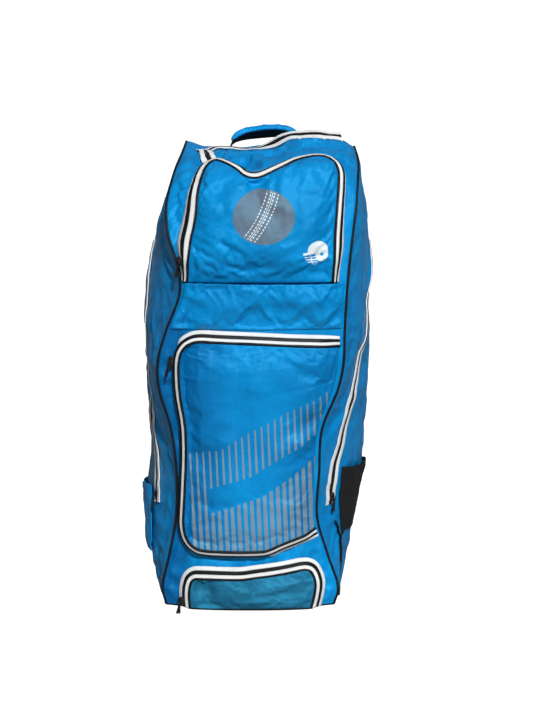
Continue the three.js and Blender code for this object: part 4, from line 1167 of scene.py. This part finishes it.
blue = cloth("blue_nylon", BLUE, BLUE_DEEP)
front_blue_painted_shade = front_cloth_painted_shade()
dull = cloth("dull_blue_nylon", DULL, DULL_DEEP, 0.5)
white_tape = tape_material()
black_piping = plain_black("black_piping_cloth", 0.5, 260.0)
zip_black = plain_black("zip_nylon", 0.38, 900.0)
metal_black = plain_black("black_enamel", 0.30, 120.0, 0.4)
board_black = plain_black("base_cloth", 0.7, 420.0)
worn_brass = plain_brass()
net = net_material()
strap_black = webbing("handle_webbing")
# The middle pocket's material holds its printed stripes and also painted shade at its sides
printed = striped_cloth_painted_shade()
printed_top = roundel_cloth()


# Body panels
settled_sides = {}           # the panels' surfaces after settling, for what is sewn on them
SIDE_SINK = 1.0              # how far the sides sink in, so that they don't stand past the seams
BACK_SINK = 1.4
BRIDGE_ROWS = 4              # rows that close the front over the rear edge of the top


def relieved(points, height):
    return points + skin_normals(points) * height[..., None]


def make_cloth(node, points, shares, material):
    """The cloth piece that stands for a CAD node."""
    name = f"{node}_cloth"
    make_piece(name, make_mesh(name, *slab(points, CLOTH, shares)), material, [node])


def build_front():
    a, b = grid(110, 260)
    w = lerp(seam_share(left_seam, right_seam, b), 1 - seam_share(right_seam, left_seam, b), a)
    points = lay(front, w, b, 0)
    x = points[..., 0]
    run = lengths(points)[1] * 1000
    top = smooth(b, *TOP_ZONE)
    strip = smooth(b, *UPPER_STRIP_ZONE) * (1 - top) * (1 - smooth(w, *UPPER_STRIP_END))
    height = top * crumpled(x, run, TOP_FINE) + strip * crumpled(x, run, STRIP_CRUMPLES)
    above_low = smooth(b, *LOW_ZONE)
    height += (1 - above_low) * smooth(b, *FLOOR_HELD) * crumpled(x, run, LOW_CRUMPLES)
    beside = above_low * (1 - smooth(b, *BESIDE_END)) * (1 - smooth(w, *BESIDE_RIGHT))
    height += beside * crumpled(x, run, BESIDE_CRUMPLES)
    held = inside(w, 0.0, 0.05) * smooth(1 - b, *FLOOR_HELD)
    points = relieved(points, height * held)
    free = inside(w, 0.005, 0.05) * smooth(b, *TOP_FREE) * smooth(1 - b, 0.02, 0.035)
    left_strip = smooth(w, 0.01, 0.05) * (1 - smooth(w, 0.07, 0.13)) * smooth(b, *UPPER_STRIP_FREE)
    free = np.maximum(free, left_strip * smooth(1 - b, 0.10, 0.14))
    points = settled(points, free, *FRONT_SETTLE)
    points = relieved(points, top * held * crumpled(x, run, TOP_LARGE))
    settled_sides["front_panel"] = grid_surface(points, (w[0], w[-1]), b[0])
    last = points[:, -1:].copy()
    last[..., 1] = BACK * DEPTH - SEAM_TUCK
    steps = np.arange(1, BRIDGE_ROWS + 1) / BRIDGE_ROWS
    bridge = [lerp(points[:, -1:], last, step) for step in steps]
    points = np.concatenate([points] + bridge, 1)
    shares = [np.concatenate([share, np.repeat(share[:, -1:], BRIDGE_ROWS, 1)], 1) for share in (w, b)]
    make_cloth("front_panel", points, shares, front_blue_painted_shade)


def build_side(name, surface, seams, seed):
    a, b = grid(80, 200)
    first, second = seams
    w = lerp(seam_share(first, second, b), 1 - seam_share(second, first, b), a)
    points = lay(surface, w, b, 0)
    soft = inside(w, 0.0, 0.08) * smooth(b, *FLOOR_HELD) * smooth(1 - b, 0, 0.02)
    height = crumpled(points[..., 1], points[..., 2], SIDE_CRUMPLES, seed)
    points = relieved(points, (height - SIDE_SINK) * soft)
    points = settled(points, soft, *SIDE_SETTLE)
    settled_sides[name] = grid_surface(points, (w[0], w[-1]), b[0])
    make_cloth(name, points, (w, b), blue)


def build_back():
    a, b = grid(70, 130)
    last = (levels["back_level"][-1] - levels["back_level"][-2]) * RISE
    b = b * (1 - SEAM_TUCK / last / (len(SECTIONS) - 1))
    w = lerp(seam_share(right_back, left_back, b), 1 - seam_share(left_back, right_back, b), a)
    points = lay(back_shape, w, b, 0)
    soft = inside(w, 0.0, 0.1) * inside(b, 0.0, 0.04)
    height = crumpled(points[..., 0], points[..., 2], BACK_CRUMPLES) - BACK_SINK
    make_cloth("back_panel", relieved(points, height * soft), (w, b), blue)


def lower_profile(w):
    width = np.linalg.norm(left_seam(np.zeros(1)) - right_seam(np.zeros(1)))
    share = LOWER_GUSSET / width
    left = LOWER_RIM[0][0]
    right = LOWER_RIM[-1][0]
    return LOWER_RAISE * np.clip(np.minimum(w - left + share, right + share - w) / share, 0, 1)


BOARD_RINGS = (0.5, 0.02)    # further rings of its faces, in shares of the way to its middle
BOARD_EDGE = ((0.4, 0.0), (0.0, 0.7), (0.0, BASE - 0.7), (0.4, BASE))    # inset and level


def build_base():
    shares = np.linspace(0, 1, 60)
    inner = shares[1:-1]
    zero = np.zeros(1)
    front_edge = lay(front, shares, 0 * shares, lower_profile(shares) - CLOTH / 2)
    right_edge = lay(right_side, inner, 0 * inner, -CLOTH / 2)
    left_edge = lay(left_side, inner, 0 * inner, -CLOTH / 2)
    outline = np.concatenate([front_edge, right_edge, right_back(zero), left_back(zero), left_edge])
    centre = outline.mean(0)
    inwards = unit(centre - outline)

    def ring(points, level):
        points[:, 2] = level
        return points

    rows = [ring(lerp(outline, centre, share), 0.0) for share in BOARD_RINGS[::-1]]
    for inset, level in BOARD_EDGE:
        rows.append(ring(outline + inwards * inset, level))
    rows += [ring(lerp(outline, centre, share), BASE) for share in BOARD_RINGS]
    mesh = make_mesh("base_board_cloth", *sweep(np.stack(rows)))
    make_piece("base_board_cloth", mesh, board_black, ["base_panel"])


CORD_SWELL = 0.06            # how much a cord's radius changes along it, of the radius
CORD_WOBBLE = 0.25
CORD_SEED = 5


def piping(name, points, ups, radius):
    places, run = resample(points, ROW_SPACING)
    points = along_line(points, places, run)
    ups = along_line(ups, places, run)
    lattice = Lattice(CORD_SEED)
    sizes = radius * (1 + CORD_SWELL * lattice.at(places / 14.0, places * 0 + 0.3))
    points = points + ups * (CORD_WOBBLE * lattice.at(places / 31.0, places * 0 + 7.3))[:, None]
    mesh = make_mesh(f"{name}_cord", *sweep(closed_ends(tube_sections(points, ups, sizes))))
    make_piece(f"{name}_cord", mesh, black_piping, [name])


def build_pipings():
    shares = np.linspace(0, 1, 400)
    count = len(shares)
    frontward = np.tile([0, -1, 0.2], (count, 1))
    backward = np.tile([0, 1, 0.2], (count, 1))
    level = np.tile([0.0, 0, 1], (count, 1))
    piping("left_seam_piping", left_seam(shares), frontward, SEAM_PIPE)
    piping("right_seam_piping", right_seam(shares), frontward, SEAM_PIPE)
    piping("left_back_piping", left_back(shares * 0.987), backward, SEAM_PIPE)
    piping("right_back_piping", right_back(shares * 0.987), backward, SEAM_PIPE)
    across = 0.01 + 0.98 * shares
    piping("top_back_piping", back_shape(1 - across, across * 0 + 1), level, SEAM_PIPE)
    place = through(GUSSET_LINE, shares)
    w = place[:, 0]
    v = place[:, 1]
    base = settled_sides["right_side_panel"]
    ups = normal(right_side, w, v)
    points = smoothed(base(w, v) + ups * (SEAT + SEAM_PIPE * 0.6), 200)
    piping("right_gusset_piping", points, ups, SEAM_PIPE)


# Pockets on the front
def samples(rim, corners, counts):
    stops = [0] + [k / (len(rim) - 1) for k in corners] + [1]
    shares = [0.0]
    for k, count in enumerate(counts):
        shares += list(lerp(stops[k], stops[k + 1], np.arange(1, count + 1) / count))
    return through(rim, np.array(shares))


def moved(places, distance):
    w = places[:, 0]
    v = places[:, 1]
    outward_ = unit(np.cross(normal(front, w, v), heading(front(w, v))))
    return np.stack(shifted(front, w, v, outward_ * distance), 1)


SEAM_MARGIN = 4.0            # least distance of a gusset's lines from a long seam
GUSSET_ROUND = 1.7


def gusset_line(pocket, millimetres):
    w = pocket["places"][:, 0]
    v = pocket["places"][:, 1]
    raise_ = pocket["height"](w, v)
    width = pocket["gusset"](w, v)
    slope = np.hypot(width, raise_ - SEAT)
    share = millimetres(slope) / slope
    outward_ = unit(np.cross(normal(front, w, v), heading(front(w, v))))
    w1, v1 = shifted(front, w, v, outward_ * (width * share)[:, None])
    edge = seam_share(left_seam, right_seam, v, SEAM_MARGIN)
    height = lerp(raise_, SEAT, share ** pocket["curve"])
    return lay(front, np.clip(w1, edge, 1 - edge), np.clip(v1, 0, 1), height)


def gusset_strip(pocket, k):
    first = RIM_PIPE * 0.7

    def width(slope):
        return (slope - first) / 3
    near = gusset_line(pocket, lambda slope: first + k * width(slope))
    far = gusset_line(pocket, lambda slope: first + (k + 1) * width(slope))
    return near, far


def straight(a, b, count):
    return lerp(a[None], b[None], np.linspace(0, 1, count + 1)[:, None])


def arched(line, cells):
    across, up = cells
    return {"left": line[:up + 1], "top": line[up:up + across + 1],
            "right": line[up + across:][::-1], "bottom": straight(line[0], line[-1], across)}


def sideways(line, cells):
    across, up = cells
    return {"bottom": line[:across + 1][::-1], "left": line[across:across + up + 1],
            "top": line[across + up:], "right": straight(line[0], line[-1], up)}


def coons(sides, cells):
    a, b = grid(*cells)
    a = a[..., None]
    b = b[..., None]
    bottom = sides["bottom"][:, None]
    top = sides["top"][:, None]
    left = sides["left"][None]
    right = sides["right"][None]
    corners = ((1 - a) * (1 - b) * bottom[0] + a * (1 - b) * bottom[-1]
               + (1 - a) * b * top[0] + a * b * top[-1])
    return (1 - b) * bottom + b * top + (1 - a) * left + a * right - corners


def upper_height(w, v):
    return lerp(UPPER_FOOT, UPPER_RAISE, smooth(v, BAND_HIGH, BAND_HIGH + 0.06))


def upper_gusset(w, v):
    full = lerp(UPPER_GUSSET_LEFT, UPPER_GUSSET, smooth(w, 0.18, 0.30))
    return lerp(UPPER_GUSSET_FOOT, full, smooth(v, BAND_HIGH, BAND_HIGH + 0.10))


def middle_height(w, v):
    return lerp(MIDDLE_RAISE, RIM_PIPE + SEAT, smooth(w, 0.855, 0.985))


def pocket_table(rim, corners, cells, layout, height, gusset, puff, folds, material, slot, relief,
                 settle, tuck=lambda w, v: 0 * w, curve=GUSSET_ROUND):
    across, up = cells
    counts = (across, up, across) if layout is sideways else (up, across, up)
    return {"places": samples(rim, corners, counts), "cells": cells, "layout": layout,
            "height": height, "gusset": gusset, "puff": puff, "folds": folds,
            "material": material, "slot": slot, "relief": relief, "settle": settle, "tuck": tuck,
            "curve": curve}


def upper_relief(x, y, a, b):
    corner = smooth(1 - a, 0.45, 0.8) * smooth(1 - b, 0.55, 0.9)
    valley = np.abs((a - 0.36) - 0.35 * (1 - b))
    crease = 4.0 * np.maximum(1 - valley / 0.16, 0) * smooth(b, 0.25, 0.5) * smooth(1 - b, 0.0, 0.2)
    return crumpled(x, y, UPPER_CRUMPLES) + corner * crumpled(x, y, UPPER_CORNER_CRUMPLES) - crease


def middle_relief(x, y, a, b):
    ridge = -7.0 * np.clip((0.30 + 0.05 * (1 - b) - a) / 0.30, 0, 1)
    valley = np.abs(b - (0.50 + 0.26 * a)) / 0.16
    crease = 3.5 * np.maximum(1 - valley, 0) * smooth(a, 0.25, 0.45)
    return ridge - crease + crumpled(x, y, MIDDLE_CRUMPLES)


def lower_relief(x, y, a, b):
    dent = -5.0 * smooth(0.32 - a, 0.0, 0.16) * smooth(a, 0.02, 0.12)
    right = 0.25 + 0.75 * smooth(a, 0.45, 0.75)
    return dent + right * crumpled(x, y, LOWER_CRUMPLES)


def middle_tuck(w, v):
    """Where the outer tape is folded in under the chain: all along the left and most of the foot."""
    arm = (1 - smooth(v, 0.490, 0.508)) * (1 - smooth(w, 0.10, 0.16))
    foot = (1 - smooth(v, 0.25, 0.35)) * (1 - smooth(w, 0.55, 0.65))
    return np.maximum(arm, foot)


upper = pocket_table(UPPER_RIM, UPPER_CORNERS, (110, 90), arched, upper_height, upper_gusset,
                     UPPER_PUFF, UPPER_FOLDS, printed_top, "blue_cloth", upper_relief,
                     UPPER_SETTLE, curve=3.0)
middle = pocket_table(MIDDLE_RIM, MIDDLE_CORNERS, (110, 130), sideways, middle_height,
                      lambda w, v: MIDDLE_GUSSET + 0 * w, MIDDLE_PUFF, MIDDLE_FOLDS, printed,
                      "blue_cloth", middle_relief, MIDDLE_SETTLE, middle_tuck)
lower = pocket_table(LOWER_RIM, LOWER_CORNERS, (120, 50), arched,
                     lambda w, v: LOWER_RAISE + 0 * w, lambda w, v: LOWER_GUSSET + 0 * w,
                     LOWER_PUFF, LOWER_FOLDS, dull, "dull_blue_cloth", lower_relief,
                     LOWER_SETTLE)


def build_pocket(name, pocket):
    w = pocket["places"][:, 0]
    v = pocket["places"][:, 1]
    ups = normal(front, w, v)
    for k, kind in enumerate(("inner_tape", "zip_chain", "outer_tape")):
        near, far = gusset_strip(pocket, k)
        if kind == "outer_tape":
            share = pocket["tuck"](w, v)[:, None]
            under = front(w, v) + ups * SEAT
            near = lerp(near, lerp(near, under, 0.35) - ups * CHAIN, share)
            far = lerp(far, under, share)
        node = f"{name}_{kind}"
        if kind == "zip_chain":
            chain_piece(f"{node}_teeth", near, far, ups, zip_black, node)
        else:
            tape_piece(f"{node}_sewn", near, far, ups, white_tape, node)
    rim = lay(front, w, v, pocket["height"](w, v))
    piping(f"{name}_piping", rim, ups, RIM_PIPE)
    inset = moved(pocket["places"], -RIM_PIPE * 0.5)
    shares = coons(pocket["layout"](inset, pocket["cells"]), pocket["cells"])
    fw = shares[..., 0]
    fv = shares[..., 1]
    a, b = grid(*pocket["cells"])
    dome = np.maximum(crown(a, FACE_POWER) * crown(b, FACE_POWER), 0) ** DOME_POWER
    from_rim = np.minimum(np.minimum(a, 1 - a), np.minimum(b, 1 - b))
    height = pocket["height"](fw, fv) + pocket["puff"] * dome
    height += fold_height(pocket["folds"], a, b) * smooth(from_rim, 0, FACE_FADE)
    points = lay(front, fw, fv, height)
    fine = pocket["relief"](points[..., 0], points[..., 2], a, b)
    points = relieved(points, fine * smooth(from_rim, 0, RELIEF_FADE))
    points = off_floor(settled(points, smooth(from_rim, *FACE_HELD), *pocket["settle"]))
    make_cloth(f"{name}_face", points, (fw, fv), pocket["material"])


def build_band():
    a, b = grid(150, 44)
    w = lerp(BAND_LEFT, BAND_RIGHT, a)
    v = lerp(BAND_LOW, BAND_HIGH, b)
    taper = np.clip(np.minimum(a, 1 - a) / BAND_END, 0, 1) ** TAPER_POWER
    low = CLOTH + SEAT
    fade = inside(a, 0, BAND_END) * smooth(b, 0, 0.3) * (1 - b)
    height = low + (BAND_RAISE - low) * taper * b + fold_height(BAND_FOLDS, a, b) * fade
    points = lay(front, w, v, height)
    fine = crumpled(points[..., 0], points[..., 2], BAND_CRUMPLES)
    upper_edge = 0.35 + 0.65 * smooth(1 - b, 0, 0.15)
    soft = inside(a, 0, 0.05) * smooth(b, 0, 0.12) * upper_edge
    points = relieved(points, fine * soft)
    make_cloth("front_band", settled(points, soft, *BAND_SETTLE), (w, v), blue)


TOP_STAND = 13.0             # how high the crumpled cloth lifts the rear edge of the top zip


def smoothed(values, rounds):
    for _ in range(rounds):
        inner = (values[:-2] + 2 * values[1:-1] + values[2:]) / 4
        values = np.concatenate([values[:1], inner, values[-1:]])
    return values


def build_zip(name, surface, rows, width, seat, stand=0.0, rounds=12):
    place = through(rows, np.linspace(0, 1, 200))
    w = place[:, 0]
    v = place[:, 1]
    points = smoothed(surface(w, v), rounds)
    across, along = slopes(surface, w, v, 0.02)
    ups = unit(smoothed(np.cross(across, along), rounds))
    outward_ = unit(np.cross(ups, heading(points)))
    each = width / 3

    def line(offset):
        over = surface(*shifted(surface, w, v, outward_ * offset)) + ups * seat
        flat = points + outward_ * offset + ups * seat
        ridge = stand * (offset + width / 2) / width * smooth(w, 0.40, 0.55)
        return smoothed(lerp(flat, over, 0.65), rounds // 3) + np.array([0, 0, 1.0]) * ridge[:, None]
    for k, kind in enumerate(("front_tape", "zip_chain", "rear_tape")):
        near = line(-width / 2 + k * each)
        far = line(-width / 2 + (k + 1) * each)
        node = f"{name}_{kind}"
        if kind == "zip_chain":
            chain_piece(f"{node}_teeth", near, far, ups, zip_black, node)
        else:
            tape_piece(f"{node}_sewn", near, far, ups, white_tape, node, 0.8, k + 3)


def build_side_pocket(name, surface, rows, flip, material):
    a, b = grid(70, 50)
    start = through(rows, b[0])
    w = lerp(start[None, :, 0], SIDE_POCKET_BACK, a)
    v = start[None, :, 1] - SIDE_POCKET_FALL * a * b
    taper = np.clip(np.minimum(a, 1 - a) / SIDE_POCKET_END, 0, 1) ** TAPER_POWER
    low = CLOTH + SEAT + GAP
    place = 1 - w if flip else w
    points = lay(surface, place, v, low + SIDE_POCKET_RAISE * taper * b)
    fine = crumpled(points[..., 1], points[..., 2], SIDE_POCKET_CRUMPLES)
    points = relieved(points, inside(a, 0, 0.08) * fine)
    make_cloth(name, points, (place, v), material)


# The grab handle
def top_height(x, y):
    low = TOP_LINE_FROM
    high = 1.0
    for _ in range(30):
        v = (low + high) / 2
        at = np.array([v])
        a = left_seam(at)[0, 0]
        b = right_seam(at)[0, 0]
        point = front(np.clip(np.array([(x - a) / (b - a)]), 0, 1), at)[0]
        if point[1] < y:
            low = v
        else:
            high = v
    return point[2]


def handle_frames(shares):
    middle = HANDLE_MIDDLE * WIDTH / 2
    foot_y = HANDLE_BACK * DEPTH
    feet = [top_height(middle + side * HANDLE_SPAN / 2, foot_y) for side in (-1, 1)]
    angle = np.pi * shares
    arch = np.sin(angle)
    lean = math.radians(HANDLE_LEAN) * arch
    x = middle - HANDLE_SPAN / 2 * np.cos(angle)
    ground = lerp(feet[0], feet[1], (1 - np.cos(angle)) / 2) + GAP
    rise = HANDLE_RISE * arch
    points = np.stack([x, foot_y + rise * np.sin(lean), ground + rise * np.cos(lean)], 1)
    across = np.stack([0 * x, np.cos(lean), -np.sin(lean)], 1)
    return points, across


PAD_WRAP = 0.9               # how far the pad's front edge wraps down, of its thickness


def build_handle():
    shares = np.linspace(0.02, 0.98, 90)
    points, across = handle_frames(shares)
    up = unit(np.cross(heading(points), across))
    ring = np.array([[-1, 0.3], [-0.97, 0.0], [0.97, 0.0], [1, 0.3], [1, 0.7], [0.95, 1.0],
                     [0.5, 0.9], [0.0, 1.0], [-0.5, 0.9], [-0.95, 1.0], [-1, 0.7], [-1, 0.5]])
    sections = (points[:, None] + across[:, None] * ring[None, :, :1] * STRAP / 2
                + up[:, None] * ring[None, :, 1:] * STRAP_THICK)
    data = sweep(sections)
    mesh = make_mesh("handle_strap", *data)
    make_piece("handle_strap", mesh, strap_black, ["top_handle_webbing"])
    shares = np.linspace(0.12, 0.88, 110)
    points, across = handle_frames(shares)
    up = unit(np.cross(heading(points), across))
    run = np.linspace(-1, 1, len(shares))
    full = np.sqrt(np.clip(1 - np.abs(run) ** 5, 0, 1))
    wide = lerp(0.72, 1.0, full)
    tall = lerp(0.30, 1.0, full)
    angles = 2 * np.pi * np.arange(20) / 20
    power = 0.62
    side = np.sign(np.cos(angles)) * np.abs(np.cos(angles)) ** power
    high = 0.5 + 0.5 * np.sign(np.sin(angles)) * np.abs(np.sin(angles)) ** power
    high = high - PAD_WRAP * np.maximum(-side, 0) ** 2 * (1 - high)
    cover = STRAP_THICK + GAP
    pucker = 1 + 0.05 * Lattice(33).at(run * 9 + 20, run * 0)
    sections = (points[:, None]
                + across[:, None] * (side[None] * (wide * pucker)[:, None] * GRIP_WIDTH / 2)[..., None]
                + up[:, None] * (cover + high[None] * (tall * pucker)[:, None]
                                 * (GRIP_THICK + 2 * GAP))[..., None])
    mesh = make_mesh("handle_pad", *sweep(sections))
    pad = make_piece("handle_pad", mesh, blue, ["top_handle_grip"], 80)


# Zip sliders and their pulls
def node_points(name):
    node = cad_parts[name]
    count = len(node.data.vertices)
    points = np.empty(count * 3)
    node.data.vertices.foreach_get("co", points)
    turn = np.array(node.matrix_world)
    return (points.reshape(count, 3) @ turn[:3, :3].T + turn[:3, 3]) * 1000 - SHIFT


def joined(parts):
    """Several bodies as the data of one mesh."""
    start = 0
    faces = []
    for part in parts:
        faces.append(part[1] + start)
        start += len(part[0])
    return (np.concatenate([part[0] for part in parts]), np.concatenate(faces),
            np.concatenate([part[2] for part in parts]), np.concatenate([part[3] for part in parts]))


def rounded_rings(centres, across, up, widths, heights, sides=16, power=0.6):
    angles = 2 * np.pi * (np.arange(sides) + 0.5) / sides
    x = np.sign(np.cos(angles)) * np.abs(np.cos(angles)) ** power
    y = np.sign(np.sin(angles)) * np.abs(np.sin(angles)) ** power
    return (centres[:, None] + across * (x[None] * widths[:, None] / 2)[..., None]
            + up * (y[None] * heights[:, None] / 2)[..., None])


SLIDER_BODY = {"place": [-0.50, -0.46, -0.36, -0.10, 0.16, 0.38, 0.47, 0.50],
               "width": [0.50, 0.82, 1.00, 0.96, 0.74, 0.66, 0.60, 0.40],
               "height": [0.50, 0.62, 0.66, 0.66, 0.66, 0.64, 0.56, 0.36]}
PULL = {"place": [0.10, 0.13, 0.22, 0.34, 0.50, 0.80, 0.93, 0.98, 1.00],
        "width": [0.40, 0.62, 0.72, 0.62, 0.70, 0.92, 1.00, 0.90, 0.60],
        "height": [0.30, 0.60, 0.80, 0.80, 0.80, 0.90, 0.90, 0.80, 0.40]}
BRIDGE_WIRE = 0.8
RING_WIRE = 0.75
BRASS_FROM = 6


def middle_of(points, axes):
    """The middle of a body's reach along each of these axes."""
    return sum(axis * (np.min(points @ axis) + np.max(points @ axis)) / 2 for axis in axes)


def build_slider(name):
    """A cast slider with its bridge, and the ring and plate that hang from it."""
    body = node_points(f"{name}_slider")
    tab = node_points(f"{name}_pull_tab")
    line, ups = chain_lines[f"{name}_zip_chain"]
    middle = (body.min(0) + body.max(0)) / 2
    k = int(np.argmin(np.linalg.norm(line - middle, axis=1)))
    along = heading(line)[k]
    if np.dot(tab.mean(0) - middle, along) < 0:
        along = -along
    up = unit(ups[k] - along * np.dot(ups[k], along))
    across = np.cross(up, along)
    size = [np.ptp(body @ axis) for axis in (along, across, up)]
    middle = middle_of(body, (along, across, up))
    places = np.array(SLIDER_BODY["place"])
    centres = middle + along * (places * size[0])[:, None] - up * size[2] * 0.17
    rings = rounded_rings(centres, across, up, np.array(SLIDER_BODY["width"]) * size[1],
                          np.array(SLIDER_BODY["height"]) * size[2])
    arc = np.linspace(0, np.pi, 14)
    bridge = (middle + along * (np.cos(arc) * size[0] * 0.30)[:, None]
              + up * (np.sin(arc) * (size[2] * 0.40 - BRIDGE_WIRE) + size[2] * 0.10)[:, None])
    wire = tube_sections(bridge, np.tile(across, (14, 1)), BRIDGE_WIRE, 8)
    mesh = make_mesh(f"{name}_cast_slider", *joined([sweep(rings), sweep(wire)]))
    make_piece(f"{name}_cast_slider", mesh, metal_black, [f"{name}_slider"], 50)

    centre = tab.mean(0)
    axes = np.linalg.svd(tab - centre, full_matrices=False)[2]
    axis = axes[0] if np.dot(axes[0], centre - middle) > 0 else -axes[0]
    side = axes[1]
    thick = np.cross(axis, side)
    long = np.ptp(tab @ axis)
    wide = np.ptp(tab @ side)
    deep = np.ptp(tab @ thick)
    start = middle_of(tab, (side, thick)) + axis * np.min(tab @ axis)
    centres = start + axis * (np.array(PULL["place"]) * long)[:, None]
    rings = rounded_rings(centres, side, thick, np.array(PULL["width"]) * wide,
                          np.array(PULL["height"]) * deep)
    turn = np.linspace(0, 2 * np.pi, 21)
    reach = wide * 0.42
    loop = (start + axis * (reach * 0.8 + reach * np.cos(turn))[:, None]
            + side * (reach * 0.8 * np.sin(turn))[:, None])
    hoop = tube_sections(loop, np.tile(thick, (21, 1)), RING_WIRE, 8)
    brass = name == "lower_pocket"
    plate = rings[:BRASS_FROM + 1] if brass else rings
    mesh = make_mesh(f"{name}_pull", *joined([sweep(plate), sweep(hoop)]))
    make_piece(f"{name}_pull", mesh, metal_black, [f"{name}_pull_tab"], 50)
    if brass:
        tip = make_mesh(f"{name}_pull_tip", *sweep(rings[BRASS_FROM - 1:]))
        make_piece(f"{name}_pull_tip", tip, worn_brass, [], 50)


build_front()
build_side("right_side_panel", right_side, (right_seam, right_back), 21)
build_side("left_side_panel", left_side, (left_back, left_seam), 31)
build_back()
build_base()
build_pipings()
build_pocket("upper_pocket", upper)
build_pocket("middle_pocket", middle)
build_pocket("lower_pocket", lower)
build_band()
soft_right = settled_sides["right_side_panel"]
soft_left = settled_sides["left_side_panel"]
build_zip("right_side", soft_right, RIGHT_ZIP, SIDE_ZIP, SEAT)
build_zip("left_side", soft_left, mirrored_zip, SIDE_ZIP, SEAT)
build_zip("top", settled_sides["front_panel"], TOP_ZIP_LINE, TOP_ZIP, TOP_SEAT, TOP_STAND, 45)
build_side_pocket("right_mesh_pocket", soft_right, MESH_FRONT, False, net)
build_side_pocket("left_low_pocket", soft_left, LEFT_POCKET_FRONT, True, blue)
build_handle()
for zip_name in ("upper_pocket", "middle_pocket", "lower_pocket", "left_side", "right_side"):
    build_slider(zip_name)

# Studio
floor_mesh = bpy.data.meshes.new("studio_floor")
FLOOR_REACH = 3000.0
STAGE_GLOW = 1.2
SKY_STRENGTH = 0.16
corners = [(x * FLOOR_REACH, y * FLOOR_REACH, 0) for x, y in ((-1, -1), (1, -1), (1, 1), (-1, 1))]
floor_mesh.from_pydata(corners, [], [(0, 1, 2, 3)])
walls_mesh = bpy.data.meshes.new("studio_walls")
high = [(x, y, FLOOR_REACH) for x, y, _ in corners]
walls = [(k, (k + 1) % 4, (k + 1) % 4 + 4, k + 4) for k in range(4)]
walls_mesh.from_pydata(corners + high, [], walls)


def white_stage(name, mesh):
    """A glowing white part of the studio that takes no shadow and lights nothing else."""
    part = bpy.data.objects.new(name, mesh)
    bpy.context.scene.collection.objects.link(part)
    part.visible_diffuse = False
    part.visible_glossy = False
    part.visible_shadow = False
    nodes = Nodes(name)
    nodes.shader.inputs["Specular IOR Level"].default_value = 0.0
    nodes.shader.inputs["Emission Color"].default_value = rgb(1.0, 1.0, 1.0)
    nodes.shader.inputs["Emission Strength"].default_value = STAGE_GLOW
    mesh.materials.append(nodes.finish(rgb(0.0, 0.0, 0.0), 1.0))


white_stage("studio_floor", floor_mesh)
white_stage("studio_walls", walls_mesh)

world = bpy.data.worlds.new("studio")
bpy.context.scene.world = world
world.use_nodes = True
world.node_tree.nodes["Background"].inputs[0].default_value = rgb(0.95, 0.97, 1.0)
world.node_tree.nodes["Background"].inputs[1].default_value = SKY_STRENGTH


def sun_light(name, direction, strength, softness):
    light = bpy.data.lights.new(name, "SUN")
    light.energy = strength
    light.angle = math.radians(softness)
    holder = bpy.data.objects.new(name, light)
    bpy.context.scene.collection.objects.link(holder)
    holder.rotation_euler = Vector(direction).to_track_quat("-Z", "Y").to_euler()


sun_light("key", (-0.20, 0.71, -0.67), 3.9, 4)
sun_light("floor_bounce", (0.05, 0.85, 0.52), 0.50, 60)

# Camera at the photograph's viewing angle
CAMERA_PITCH = 14.0
CAMERA_PLACE = np.array([18.5, -2445.1, 1021.6])
FOCAL_SHARE = 1430 / 711
camera_data = bpy.data.cameras.new("camera")
camera_data.sensor_width = 36.0
camera_data.sensor_fit = "AUTO"
camera_data.lens = 36.0 * FOCAL_SHARE
camera_data.clip_end = 9000.0
camera = bpy.data.objects.new("camera", camera_data)
camera.location = to_frame(CAMERA_PLACE)
camera.rotation_euler = (math.radians(90 - CAMERA_PITCH), 0, 0)
bpy.context.scene.collection.objects.link(camera)
bpy.context.scene.camera = camera
bpy.context.scene.view_settings.view_transform = "Standard"

bpy.context.view_layer.update()
